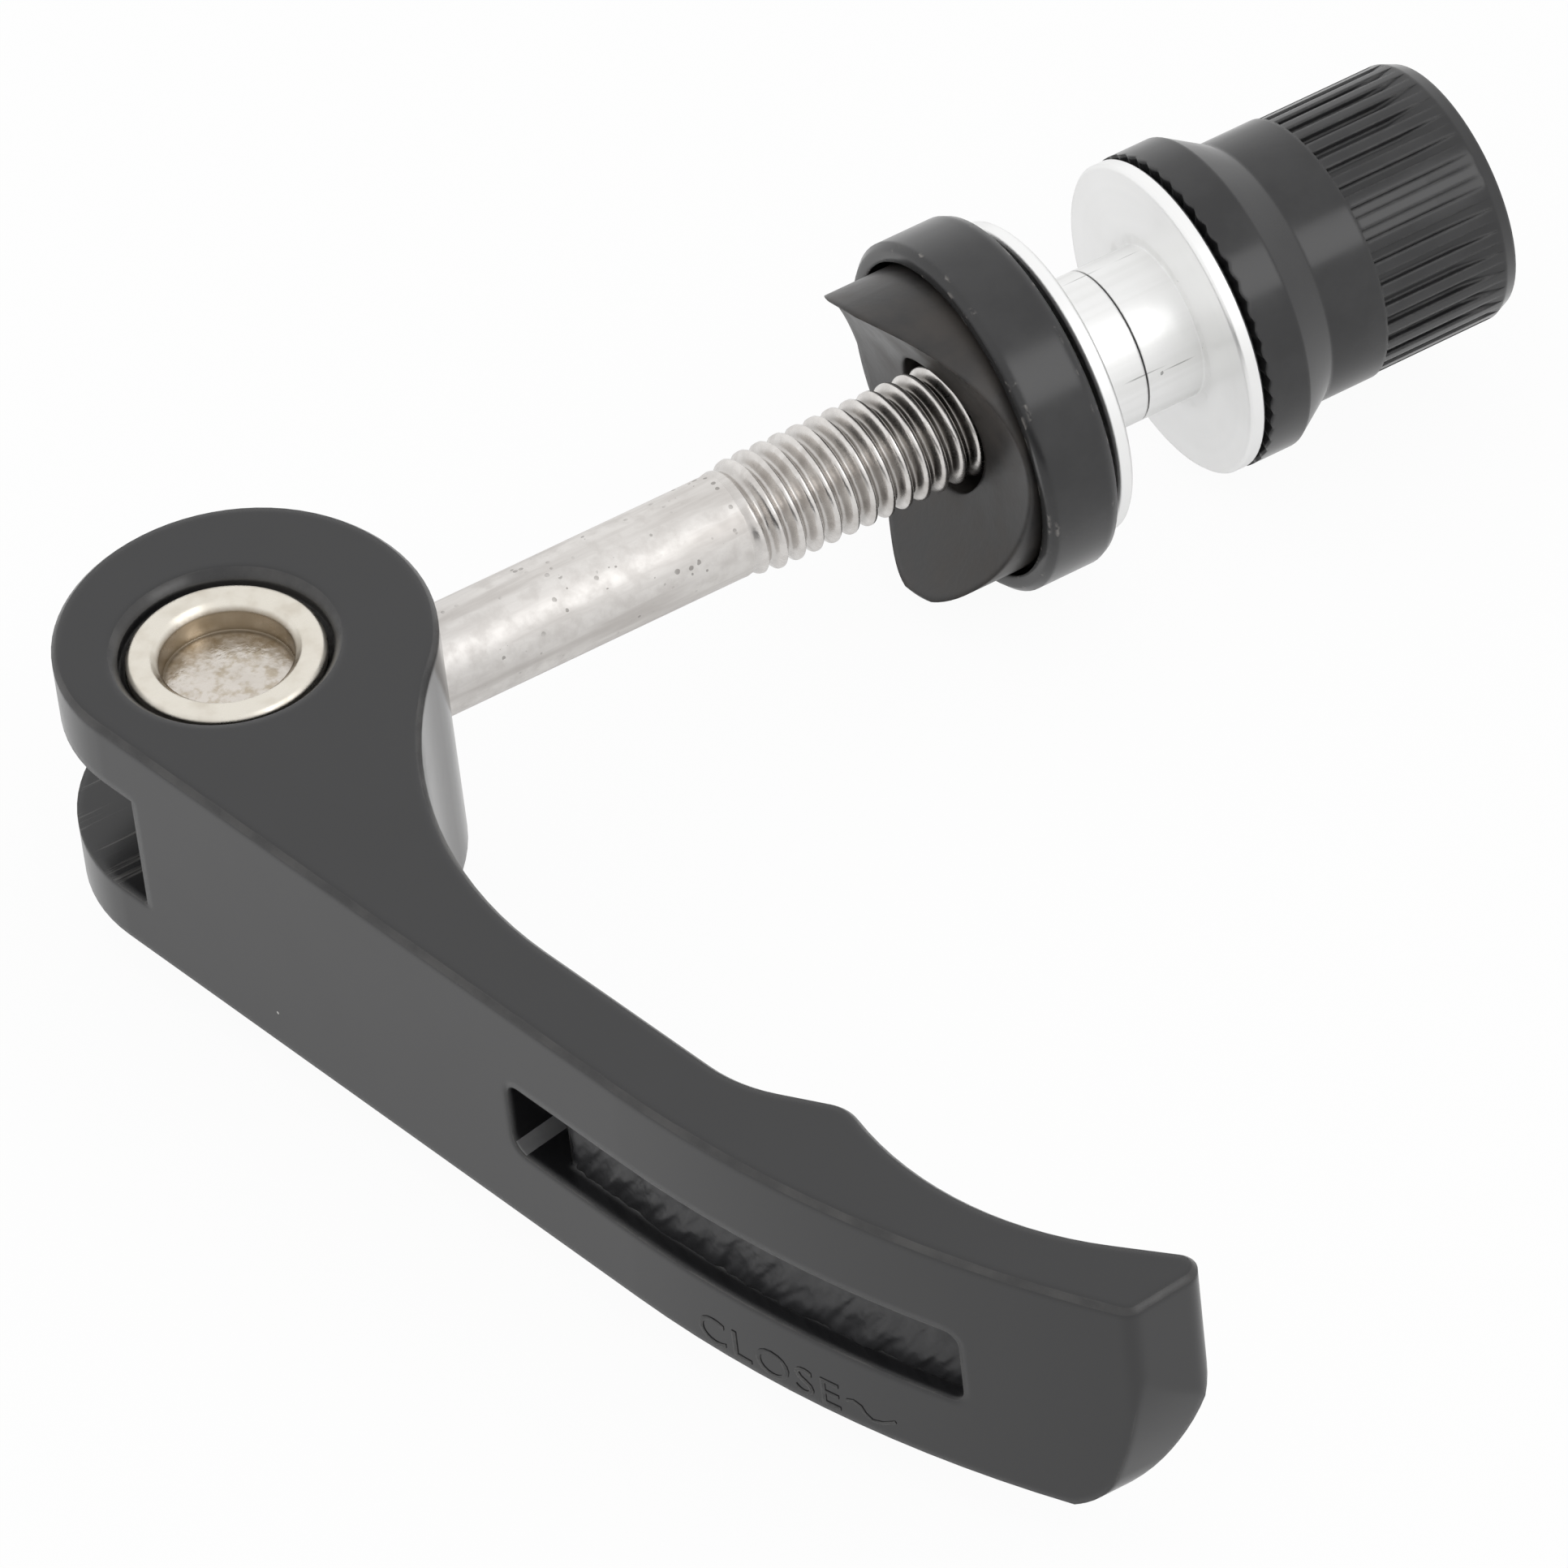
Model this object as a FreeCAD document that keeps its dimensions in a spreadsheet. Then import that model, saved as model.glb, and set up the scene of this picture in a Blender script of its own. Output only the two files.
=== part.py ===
import FreeCAD, Part
import Sketcher
import math
import os
import re
from FreeCAD import Placement, Rotation, Vector

# Quick release seatpost clamp: lever with an eccentric head, cross barrel, clamp bolt,
# cam saddle in its cup, two flanged bushes and a capped adjuster nut.
# The origin is on the bolt axis at the seat face of the inner bush, +X towards the nut,
# +Z along the barrel; the lever arm lies towards -Y.

doc = FreeCAD.newDocument("quick_release_clamp")
sheet = doc.addObject("Spreadsheet::Sheet", "sizes")

sizes = {
    # lever, measured from the barrel axis
    "lever_width": 13.8,
    "cam_radius": 8.83,
    "cam_offset": 1.157,
    "cam_offset_angle": 26.5,
    "arm_lean": 11.1,
    "arm_straight": 35.8,
    "arm_thickness": 4.1,
    "neck_radius": 22.6,
    "back_bend_radius": 68.5,
    "lever_reach": 62.4,
    "tip_length": 5.3,
    "tip_slope": 6.0,
    "tip_end_radius": 26.0,
    "tip_end_crest": 4.0,
    "tip_under_round": 4.0,
    "tip_side_inset": 1.2,
    "tip_side_round": 4.3,
    "tip_side_tilt": 45.0,
    "tip_inner_round": 1.0,
    "tip_outer_round": 0.9,
    "hook_radius": 18.14,
    "hook_span": 17.52,
    "tail_length": 5.13,
    "bump_radius": 2.2,
    "bump_rise": 2.25,
    "ramp_angle": 38.0,
    "ramp_blend_radius": 8.0,
    "fork_slot_width": 6.6,
    "fork_floor_drop": 3.05,
    "lever_edge_chamfer": 0.25,
    "lever_under_chamfer": 0.5,
    "counterbore_radius": 5.1,
    "counterbore_depth": 1.0,
    "counterbore_chamfer": 0.4,
    "window_start": 28.6,
    "window_end": 54.2,
    "window_width": 4.3,
    "window_depth": 1.15,
    "window_deep_end_depth": 2.6,
    "window_deep_end_length": 2.7,
    "window_corner_round": 0.8,
    # cross barrel
    "barrel_radius": 4.75,
    "barrel_half_length": 6.55,
    "barrel_recess_radius": 3.2,
    "barrel_recess_depth": 1.6,
    "barrel_lip_round": 0.4,
    "barrel_edge_chamfer": 0.2,
    "barrel_clearance": 0.05,
    # clamp bolt, measured from the barrel axis
    "bolt_shank_radius": 2.61,
    "bolt_buried_length": 3.5,
    "thread_radius": 2.96,
    "thread_start": 26.3,
    "thread_runout": 0.9,
    "bolt_end": 60.2,
    "bolt_end_chamfer": 0.7,
    # cam saddle and its cup
    "saddle_radius": 7.9,
    "saddle_seat_clearance": 0.07,
    "saddle_horn_height": 3.7,
    "saddle_base_thickness": 2.75,
    "saddle_bore_clearance": 0.6,
    "saddle_base_chamfer": 0.4,
    "saddle_rest_turn": 73.0,
    "cup_wall": 0.9,
    "cup_height": 3.9,
    "cup_floor": 1.3,
    "cup_side_gap": 0.3,
    "cup_floor_gap": 0.1,
    "cup_hole_clearance": 0.35,
    "cup_rim_chamfer": 0.3,
    "cup_base_round": 0.5,
    "cup_to_bush_gap": 0.5,
    # flanged bushes
    "flange_radius": 8.1,
    "flange_thickness": 0.85,
    "flange_edge_break": 0.15,
    "sleeve_radius": 3.95,
    "inner_sleeve_length": 3.45,
    "outer_sleeve_length": 3.1,
    "sleeve_gap": 0.1,
    "bush_bore_clearance": 0.1,
    "seat_to_barrel": 44.45,
    # adjuster nut
    "nut_to_flange_gap": 0.25,
    "nut_flange_radius": 8.15,
    "nut_flange_length": 2.2,
    "nut_cone_length": 2.1,
    "nut_neck_radius": 6.85,
    "nut_neck_length": 3.2,
    "nut_knob_radius": 6.75,
    "nut_knob_length": 7.9,
    "nut_end_round": 1.0,
    "nut_cap_thickness": 1.4,
    "nut_bore_clearance": 0.05,
    "grip_groove_count": 36,
    "grip_groove_width": 0.55,
    "grip_groove_depth": 0.36,
    "grip_groove_fade": 2.6,
    "tooth_count": 48,
    "tooth_depth": 0.14,
    "tooth_half_width": 0.4,
    "tooth_ring_inner_radius": 5.6,
}

for row, (name, value) in enumerate(sizes.items(), start=1):
    sheet.set("A%d" % row, name)
    sheet.set("B%d" % row, str(value))
    sheet.setAlias("B%d" % row, name)
doc.recompute()

reach_past = 30.0  # how far cutting shapes run past the metal


def size(name):
    return float(sheet.get(name))


def cell(word):
    return "<<sizes>>." + word if word in sizes else word


def bound(formula):
    return re.sub(r"[a-z_]+", lambda word: cell(word.group()), formula)


def new_body(label):
    body = doc.addObject("PartDesign::Body", label)
    body.Label = label
    return body


def plane(body, role):
    return next(item for item in body.Origin.OriginFeatures if item.Role == role)


def new_sketch(body, name, role):
    sketch = body.newObject("Sketcher::SketchObject", name)
    sketch.AttachmentSupport = [(plane(body, role), "")]
    sketch.MapMode = "FlatFace"
    return sketch


def line(sketch, start, end):
    return sketch.addGeometry(Part.LineSegment(start, end), False)


def arc(sketch, centre, radius, start, end):
    # counter-clockwise from start to end
    circle = Part.Circle(centre, Vector(0, 0, 1), radius)
    first = math.atan2(start.y - centre.y, start.x - centre.x)
    last = math.atan2(end.y - centre.y, end.x - centre.x)
    return sketch.addGeometry(Part.ArcOfCircle(circle, first, last), False)


def join(sketch, *places):
    sketch.addConstraint(Sketcher.Constraint("Coincident", *places))


def smooth(sketch, *places):
    sketch.addConstraint(Sketcher.Constraint("Tangent", *places))


def borrow(sketch, source, number):
    # an edge of another sketch, as a reference line of this one
    sketch.addExternal(source.Name, "Edge%d" % (number + 1))
    return -len(sketch.ExternalGeo)


def drive(sketch, kind, places, value, formula):
    index = sketch.addConstraint(Sketcher.Constraint(kind, *places, value))
    sketch.setExpression("Constraints[%d]" % index, bound(formula))


def polygon(sketch, corners):
    # corners are pairs of formulas; an empty formula puts the corner on the axis
    points = []
    for across, up in corners:
        x = sketch.evalExpression(bound(across)) if across else 0.0
        y = sketch.evalExpression(bound(up)) if up else 0.0
        points.append(Vector(float(x), float(y), 0))
    count = len(points)
    first = sketch.GeometryCount
    for index in range(count):
        line(sketch, points[index], points[(index + 1) % count])
    for index in range(count):
        join(sketch, first + index, 2, first + (index + 1) % count, 1)
    for index, (across, up) in enumerate(corners):
        place = (-1, 1, first + index, 1)
        if across:
            drive(sketch, "DistanceX", place, points[index].x, across)
        else:
            sketch.addConstraint(Sketcher.Constraint("PointOnObject", first + index, 1, -2))
        if up:
            drive(sketch, "DistanceY", place, points[index].y, up)
        else:
            sketch.addConstraint(Sketcher.Constraint("PointOnObject", first + index, 1, -1))


def feature(body, kind, name, sketch):
    doc.recompute()
    item = body.newObject("PartDesign::" + kind, name)
    item.Profile = sketch
    sketch.Visibility = False
    return item


def pad(body, name, sketch, formula):
    item = feature(body, "Pad", name, sketch)
    item.Midplane = True
    item.setExpression("Length", bound(formula))
    body.Tip = item
    doc.recompute()
    return item


def pocket_both_ways(body, name, sketch, formula=None):
    item = feature(body, "Pocket", name, sketch)
    item.Midplane = True
    if formula:
        item.setExpression("Length", bound(formula))
    else:
        item.Type = "ThroughAll"
    body.Tip = item
    doc.recompute()
    return item


def pocket_one_way(body, name, sketch, reversed_way):
    item = feature(body, "Pocket", name, sketch)
    item.Length = reach_past
    item.Reversed = reversed_way
    body.Tip = item
    doc.recompute()
    return item


def revolve(body, name, sketch, axis):
    item = feature(body, "Revolution", name, sketch)
    item.ReferenceAxis = (sketch, [axis])
    item.Angle = 360.0
    body.Tip = item
    doc.recompute()
    return item


def polar(body, name, original, axis_of, formula):
    item = body.newObject("PartDesign::PolarPattern", name)
    item.Originals = [original]
    item.Axis = (axis_of, ["H_Axis"])
    item.Angle = 360.0
    item.setExpression("Occurrences", bound(formula))
    body.Tip = item
    doc.recompute()
    return item


def edges_where(shape, wanted):
    return ["Edge%d" % number for number, edge in enumerate(shape.Edges, start=1) if wanted(edge)]


def dress(body, kind, name, base, edges, value_name, formula):
    item = body.newObject("PartDesign::" + kind, name)
    item.Base = (base, edges)
    item.setExpression(value_name, bound(formula))
    body.Tip = item
    doc.recompute()
    return item


def stand_at(body, formula):
    body.setExpression("Placement.Base.x", bound(formula))


# Lever: one tangent outline, padded to the lever's width
lever = new_body("lever")
stand_at(lever, "- seat_to_barrel")
outline = new_sketch(lever, "lever_outline", "XY_Plane")

lean = math.radians(size("arm_lean"))
along = Vector(math.sin(lean), -math.cos(lean), 0)
outward = Vector(-math.cos(lean), -math.sin(lean), 0)
offset_way = math.radians(size("cam_offset_angle"))
cam_centre = Vector(math.cos(offset_way), math.sin(offset_way), 0) * size("cam_offset")
dwell_radius = size("cam_radius") + size("cam_offset")
dwell_end = Vector(math.cos(offset_way), math.sin(offset_way), 0) * dwell_radius
back_top = cam_centre + outward * size("cam_radius")
back_bend = back_top + along * size("arm_straight")
bend_centre = back_bend - outward * size("back_bend_radius")
tip_height = -size("lever_reach") - bend_centre.y
tip_outer = bend_centre + Vector(-math.sqrt(size("back_bend_radius") ** 2 - tip_height ** 2), tip_height, 0)
slope = math.radians(size("tip_slope"))
tip_inner = tip_outer + Vector(math.cos(slope), math.sin(slope), 0) * size("tip_length")

bump_depth = size("arm_thickness") + size("bump_rise") - size("bump_radius")
bump_line = back_top - outward * bump_depth
bump_run = (bump_line.y - tip_inner.y - size("hook_span")) / math.cos(lean)
bump_centre = bump_line + along * bump_run
to_tip = tip_inner - bump_centre
bump_reach = size("hook_radius") + size("bump_radius")
tip_reach = math.hypot(size("hook_radius"), size("tail_length"))
hook_run = (bump_reach ** 2 - tip_reach ** 2 + to_tip.Length ** 2) / (2 * to_tip.Length)
hook_aside = math.sqrt(bump_reach ** 2 - hook_run ** 2)
tip_way = Vector(to_tip).normalize()
hook_centre = bump_centre + tip_way * hook_run + Vector(-tip_way.y, tip_way.x, 0) * hook_aside
turn = math.atan2(size("tail_length"), size("hook_radius"))
tail_way = math.atan2(tip_inner.y - hook_centre.y, tip_inner.x - hook_centre.x) - turn
hook_low = hook_centre + Vector(math.cos(tail_way), math.sin(tail_way), 0) * size("hook_radius")
bump_to_hook = (hook_centre - bump_centre).normalize()
hook_high = bump_centre + bump_to_hook * size("bump_radius")

ramp_turn = math.radians(size("ramp_angle"))
ramp_out = Vector(math.cos(ramp_turn), math.sin(ramp_turn), 0)
ramp_low = bump_centre + ramp_out * size("bump_radius")

inner_base = back_top - outward * size("arm_thickness")
neck_line = inner_base - outward * size("neck_radius")
neck_reach = dwell_radius + size("neck_radius")
half_n = neck_line.dot(along)
neck_run = -half_n + math.sqrt(half_n ** 2 - neck_line.dot(neck_line) + neck_reach ** 2)
neck_centre = neck_line + along * neck_run
neck_low = inner_base + along * neck_run
neck_high = Vector(neck_centre).normalize() * dwell_radius

blend_line = inner_base - outward * size("ramp_blend_radius")
blend_gap = ramp_low.dot(ramp_out) + size("ramp_blend_radius") - blend_line.dot(ramp_out)
blend_run = blend_gap / along.dot(ramp_out)
blend_centre = blend_line + along * blend_run
arm_low = inner_base + along * blend_run
ramp_high = blend_centre - ramp_out * size("ramp_blend_radius")

cam = arc(outline, cam_centre, size("cam_radius"), dwell_end, back_top)
back = line(outline, back_top, back_bend)
bend = arc(outline, bend_centre, size("back_bend_radius"), back_bend, tip_outer)
tip = line(outline, tip_outer, tip_inner)
tail = line(outline, tip_inner, hook_low)
hook = arc(outline, hook_centre, size("hook_radius"), hook_high, hook_low)
bump = arc(outline, bump_centre, size("bump_radius"), hook_high, ramp_low)
ramp = line(outline, ramp_low, ramp_high)
blend = arc(outline, blend_centre, size("ramp_blend_radius"), arm_low, ramp_high)
arm = line(outline, arm_low, neck_low)
neck = arc(outline, neck_centre, size("neck_radius"), neck_high, neck_low)
dwell = arc(outline, Vector(0, 0, 0), dwell_radius, neck_high, dwell_end)

smooth(outline, cam, 2, back, 1)
smooth(outline, back, 2, bend, 1)
join(outline, bend, 2, tip, 1)
join(outline, tip, 2, tail, 1)
smooth(outline, tail, 2, hook, 2)
smooth(outline, hook, 1, bump, 1)
smooth(outline, bump, 2, ramp, 1)
smooth(outline, ramp, 2, blend, 2)
smooth(outline, blend, 1, arm, 1)
smooth(outline, arm, 2, neck, 2)
smooth(outline, neck, 1, dwell, 1)
smooth(outline, dwell, 2, cam, 1)
join(outline, dwell, 3, -1, 1)
outline.addConstraint(Sketcher.Constraint("Parallel", back, arm))
drive(outline, "Radius", (cam,), size("cam_radius"), "cam_radius")
drive(outline, "DistanceX", (-1, 1, cam, 3), cam_centre.x, "cam_offset * cos(cam_offset_angle * 1 deg)")
drive(outline, "DistanceY", (-1, 1, cam, 3), cam_centre.y, "cam_offset * sin(cam_offset_angle * 1 deg)")
drive(outline, "Angle", (-2, 1, back, 2), lean, "arm_lean")
drive(outline, "Distance", (back,), size("arm_straight"), "arm_straight")
drive(outline, "Radius", (bend,), size("back_bend_radius"), "back_bend_radius")
drive(outline, "DistanceY", (tip, 1, -1, 1), size("lever_reach"), "lever_reach")
drive(outline, "Distance", (tip,), size("tip_length"), "tip_length")
drive(outline, "Angle", (-1, 1, tip, 1), slope, "tip_slope")
drive(outline, "Radius", (hook,), size("hook_radius"), "hook_radius")
drive(outline, "DistanceY", (tip, 2, bump, 3), size("hook_span"), "hook_span")
drive(outline, "Distance", (tail,), size("tail_length"), "tail_length")
drive(outline, "Radius", (bump,), size("bump_radius"), "bump_radius")
drive(outline, "Distance", (bump, 3, back), bump_depth, "arm_thickness + bump_rise - bump_radius")
drive(outline, "Angle", (-2, 1, ramp, 1), ramp_turn, "ramp_angle")
drive(outline, "Radius", (blend,), size("ramp_blend_radius"), "ramp_blend_radius")
drive(outline, "Distance", (arm, 1, back), size("arm_thickness"), "arm_thickness")
drive(outline, "Radius", (neck,), size("neck_radius"), "neck_radius")
doc.recompute()

lever_pad = pad(lever, "lever_pad", outline, "lever_width")

# Rounded tip corners and cheek edges
near = 0.02


def upright_at(place):
    def check(edge):
        ends = [vertex.Point for vertex in edge.Vertexes]
        return all(math.hypot(end.x - place.x, end.y - place.y) < near for end in ends)
    return check


def on_upper_cheek(edge):
    return edge.BoundBox.ZLength < near and edge.BoundBox.ZMin > 0


def on_lower_cheek(edge):
    return edge.BoundBox.ZLength < near and edge.BoundBox.ZMax < 0


lower_edges = edges_where(lever_pad.Shape, on_lower_cheek)
lower_chamfer = dress(lever, "Chamfer", "lower_chamfer", lever_pad, lower_edges, "Size", "lever_under_chamfer")
inner_edges = edges_where(lower_chamfer.Shape, upright_at(tip_inner))
tip_inner_rounding = dress(
    lever, "Fillet", "tip_inner_rounding", lower_chamfer, inner_edges, "Radius", "tip_inner_round")
outer_edges = edges_where(tip_inner_rounding.Shape, upright_at(tip_outer))
tip_outer_rounding = dress(
    lever, "Fillet", "tip_outer_rounding", tip_inner_rounding, outer_edges, "Radius", "tip_outer_round")
upper_edges = edges_where(tip_outer_rounding.Shape, on_upper_cheek)
upper_chamfer = dress(
    lever, "Chamfer", "upper_chamfer", tip_outer_rounding, upper_edges, "Size", "lever_edge_chamfer")

# Fork slot for the bolt, with a straight floor below the barrel
fork_sketch = new_sketch(lever, "fork_slot_outline", "YZ_Plane")
fork_top = "cam_radius + cam_offset + tip_length"
polygon(fork_sketch, [
    ("- fork_floor_drop", "- fork_slot_width / 2"),
    (fork_top, "- fork_slot_width / 2"),
    (fork_top, "fork_slot_width / 2"),
    ("- fork_floor_drop", "fork_slot_width / 2"),
])
fork_slot = pocket_both_ways(lever, "fork_slot", fork_sketch)

# Barrel bore with a shallow, chamfered counterbore in each cheek
bore_sketch = new_sketch(lever, "barrel_bore_outline", "XZ_Plane")
bore = "barrel_radius + barrel_clearance"
step = "lever_width / 2 - counterbore_depth"
chamfer_start = "lever_width / 2 - counterbore_chamfer"
mouth_radius = "counterbore_radius + counterbore_chamfer"
upper_bore = [
    (bore, step),
    ("counterbore_radius", step),
    ("counterbore_radius", chamfer_start),
    (mouth_radius, "lever_width / 2"),
    (mouth_radius, "lever_width"),
    ("", "lever_width"),
]
lower_bore = [(across, "- (" + up + ")") for across, up in reversed(upper_bore)]
polygon(bore_sketch, lower_bore + upper_bore)
barrel_bore = feature(lever, "Groove", "barrel_bore", bore_sketch)
barrel_bore.ReferenceAxis = (bore_sketch, ["V_Axis"])
barrel_bore.Angle = 360.0
lever.Tip = barrel_bore
doc.recompute()

# Window sunk into the back of the arm; its floor runs parallel to the back
window_sketch = new_sketch(lever, "window_outline", "XY_Plane")
outer_line = borrow(window_sketch, outline, back)
outer_bend = borrow(window_sketch, outline, bend)
start_run = (size("window_start") + back_top.y) / math.cos(lean)
floor_start = back_top + along * start_run - outward * size("window_depth")
floor_bend = back_bend - outward * size("window_depth")
floor_radius = size("back_bend_radius") - size("window_depth")
end_height = -size("window_end") - bend_centre.y
floor_end = bend_centre + Vector(-math.sqrt(floor_radius ** 2 - end_height ** 2), end_height, 0)
end_outward = (floor_end - bend_centre).normalize()
mouth_start = floor_start + outward * size("arm_thickness")
mouth_end = floor_end + end_outward * size("arm_thickness")
floor_line = line(window_sketch, floor_start, floor_bend)
floor_arc = arc(window_sketch, bend_centre, floor_radius, floor_bend, floor_end)
end_wall = line(window_sketch, floor_end, mouth_end)
mouth = line(window_sketch, mouth_end, mouth_start)
start_wall = line(window_sketch, mouth_start, floor_start)
smooth(window_sketch, floor_line, 2, floor_arc, 1)
join(window_sketch, floor_arc, 2, end_wall, 1)
join(window_sketch, end_wall, 2, mouth, 1)
join(window_sketch, mouth, 2, start_wall, 1)
join(window_sketch, start_wall, 2, floor_line, 1)
join(window_sketch, floor_arc, 3, outer_bend, 3)
window_sketch.addConstraint(Sketcher.Constraint("Parallel", floor_line, outer_line))
window_sketch.addConstraint(Sketcher.Constraint("Perpendicular", start_wall, outer_line))
window_sketch.addConstraint(Sketcher.Constraint("PointOnObject", outer_bend, 3, end_wall))
floor_start_drop = "window_start - window_depth * sin(arm_lean * 1 deg)"
drive(window_sketch, "Distance", (floor_line, 1, outer_line), size("window_depth"), "window_depth")
drive(window_sketch, "DistanceY", (floor_line, 1, -1, 1), -floor_start.y, floor_start_drop)
drive(window_sketch, "DistanceY", (floor_arc, 2, -1, 1), size("window_end"), "window_end")
drive(window_sketch, "Distance", (start_wall,), size("arm_thickness"), "arm_thickness")
drive(window_sketch, "Distance", (end_wall,), size("arm_thickness"), "arm_thickness")
window = pocket_both_ways(lever, "window", window_sketch, "window_width")

# Deep end of the window, next to the head
deep_sketch = new_sketch(lever, "window_deep_end_outline", "XY_Plane")
outer_line = borrow(deep_sketch, outline, back)
deep_start = back_top + along * start_run - outward * size("window_deep_end_depth")
deep_end = deep_start + along * size("window_deep_end_length")
deep_rise = outward * size("arm_thickness")
deep_floor = line(deep_sketch, deep_start, deep_end)
deep_lower = line(deep_sketch, deep_end, deep_end + deep_rise)
deep_mouth = line(deep_sketch, deep_end + deep_rise, deep_start + deep_rise)
deep_upper = line(deep_sketch, deep_start + deep_rise, deep_start)
join(deep_sketch, deep_floor, 2, deep_lower, 1)
join(deep_sketch, deep_lower, 2, deep_mouth, 1)
join(deep_sketch, deep_mouth, 2, deep_upper, 1)
join(deep_sketch, deep_upper, 2, deep_floor, 1)
deep_sketch.addConstraint(Sketcher.Constraint("Parallel", deep_floor, outer_line))
deep_sketch.addConstraint(Sketcher.Constraint("Parallel", deep_mouth, outer_line))
deep_sketch.addConstraint(Sketcher.Constraint("Perpendicular", deep_lower, outer_line))
deep_sketch.addConstraint(Sketcher.Constraint("Perpendicular", deep_upper, outer_line))
deep_start_drop = "window_start - window_deep_end_depth * sin(arm_lean * 1 deg)"
deep_depth = "window_deep_end_depth"
drive(deep_sketch, "Distance", (deep_floor, 1, outer_line), size(deep_depth), deep_depth)
drive(deep_sketch, "DistanceY", (deep_floor, 1, -1, 1), -deep_start.y, deep_start_drop)
drive(deep_sketch, "Distance", (deep_floor,), size("window_deep_end_length"), "window_deep_end_length")
drive(deep_sketch, "Distance", (deep_upper,), size("arm_thickness"), "arm_thickness")
window_deep_end = pocket_both_ways(lever, "window_deep_end", deep_sketch, "window_width")

# Rounded corners of the window, at the ends of its mouth
half_window = size("window_width") / 2


def window_corner(edge):
    box = edge.BoundBox
    middle = edge.valueAt((edge.FirstParameter + edge.LastParameter) / 2)
    level = box.ZLength < near and abs(abs(middle.z) - half_window) < near
    flat_middle = Vector(middle.x, middle.y, 0)
    at_start = abs((flat_middle - floor_start).dot(along)) < near
    at_end = (flat_middle - bend_centre).cross(end_outward).Length < near
    return level and (at_start or at_end)


corner_edges = edges_where(window_deep_end.Shape, window_corner)
window_rounding = dress(
    lever, "Fillet", "window_rounding", window_deep_end, corner_edges, "Radius", "window_corner_round")

# End of the tip, bowed in side view and rounded under
end_sketch = new_sketch(lever, "tip_end_outline", "YZ_Plane")
end_radius = size("tip_end_radius")
under_radius = size("tip_under_round")
half_width = size("lever_width") / 2
bow_centre = Vector(-size("lever_reach") + end_radius, size("tip_end_crest"), 0)
under_rise = -half_width + under_radius - bow_centre.y
under_run = math.sqrt((end_radius - under_radius) ** 2 - under_rise ** 2)
under_centre = bow_centre + Vector(-under_run, under_rise, 0)
bow_low = bow_centre + (under_centre - bow_centre).normalize() * end_radius
bow_high = bow_centre + Vector(-end_radius, 0, 0)
under_end = under_centre + Vector(0, -under_radius, 0)
clear_low = Vector(under_end.x, under_end.y - end_radius, 0)
clear_corner = Vector(bow_high.x - end_radius, clear_low.y, 0)
clear_high = Vector(clear_corner.x, bow_high.y, 0)
bow = arc(end_sketch, bow_centre, end_radius, bow_high, bow_low)
under = arc(end_sketch, under_centre, under_radius, bow_low, under_end)
clear_down = line(end_sketch, under_end, clear_low)
clear_floor = line(end_sketch, clear_low, clear_corner)
clear_wall = line(end_sketch, clear_corner, clear_high)
clear_back = line(end_sketch, clear_high, bow_high)
smooth(end_sketch, bow, 2, under, 1)
join(end_sketch, under, 2, clear_down, 1)
join(end_sketch, clear_down, 2, clear_floor, 1)
join(end_sketch, clear_floor, 2, clear_wall, 1)
join(end_sketch, clear_wall, 2, clear_back, 1)
join(end_sketch, clear_back, 2, bow, 1)
for upright in (clear_down, clear_wall):
    end_sketch.addConstraint(Sketcher.Constraint("Vertical", upright))
for level in (clear_floor, clear_back):
    end_sketch.addConstraint(Sketcher.Constraint("Horizontal", level))
end_sketch.addConstraint(Sketcher.Constraint("PointOnObject", under, 3, clear_down))
end_sketch.addConstraint(Sketcher.Constraint("PointOnObject", bow, 3, clear_back))
drive(end_sketch, "Radius", (bow,), end_radius, "tip_end_radius")
drive(end_sketch, "Radius", (under,), under_radius, "tip_under_round")
drive(end_sketch, "DistanceX", (bow, 1, -1, 1), size("lever_reach"), "lever_reach")
drive(end_sketch, "DistanceY", (-1, 1, bow, 1), size("tip_end_crest"), "tip_end_crest")
drive(end_sketch, "DistanceY", (under, 2, -1, 1), half_width, "lever_width / 2")
drive(end_sketch, "DistanceY", (clear_down, 2, clear_down, 1), end_radius, "tip_end_radius")
drive(end_sketch, "DistanceX", (clear_back,), end_radius, "tip_end_radius")
tip_end = pocket_both_ways(lever, "tip_end", end_sketch)

# Lower inner corner of the end, rounded off along a tilted line
side_sketch = new_sketch(lever, "tip_side_outline", "XY_Plane")
side_sketch.AttachmentOffset = Placement(Vector(0, 0, 0), Rotation(Vector(1, 0, 0), size("tip_side_tilt")))
side_sketch.setExpression("AttachmentOffset.Rotation.Angle", bound("tip_side_tilt"))
tip_edge = borrow(side_sketch, outline, tip)
tilt = math.radians(size("tip_side_tilt"))
side_radius = size("tip_side_round")
side_reach = tip_inner.x - size("tip_side_inset")
side_drop = under_radius - under_centre.x * math.cos(tilt) - under_centre.y * math.sin(tilt)
side_low = Vector(side_reach - side_radius, -side_drop, 0)
side_centre = side_low + Vector(0, side_radius, 0)
side_high = side_centre + Vector(side_radius, 0, 0)
side_corner = side_high + Vector(side_radius, 0, 0)
side_clear = Vector(side_corner.x, side_low.y - side_radius, 0)
side_foot = Vector(side_low.x, side_clear.y, 0)
side_arc = arc(side_sketch, side_centre, side_radius, side_low, side_high)
side_top = line(side_sketch, side_high, side_corner)
side_wall = line(side_sketch, side_corner, side_clear)
side_floor = line(side_sketch, side_clear, side_foot)
side_down = line(side_sketch, side_foot, side_low)
join(side_sketch, side_arc, 2, side_top, 1)
join(side_sketch, side_top, 2, side_wall, 1)
join(side_sketch, side_wall, 2, side_floor, 1)
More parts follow.
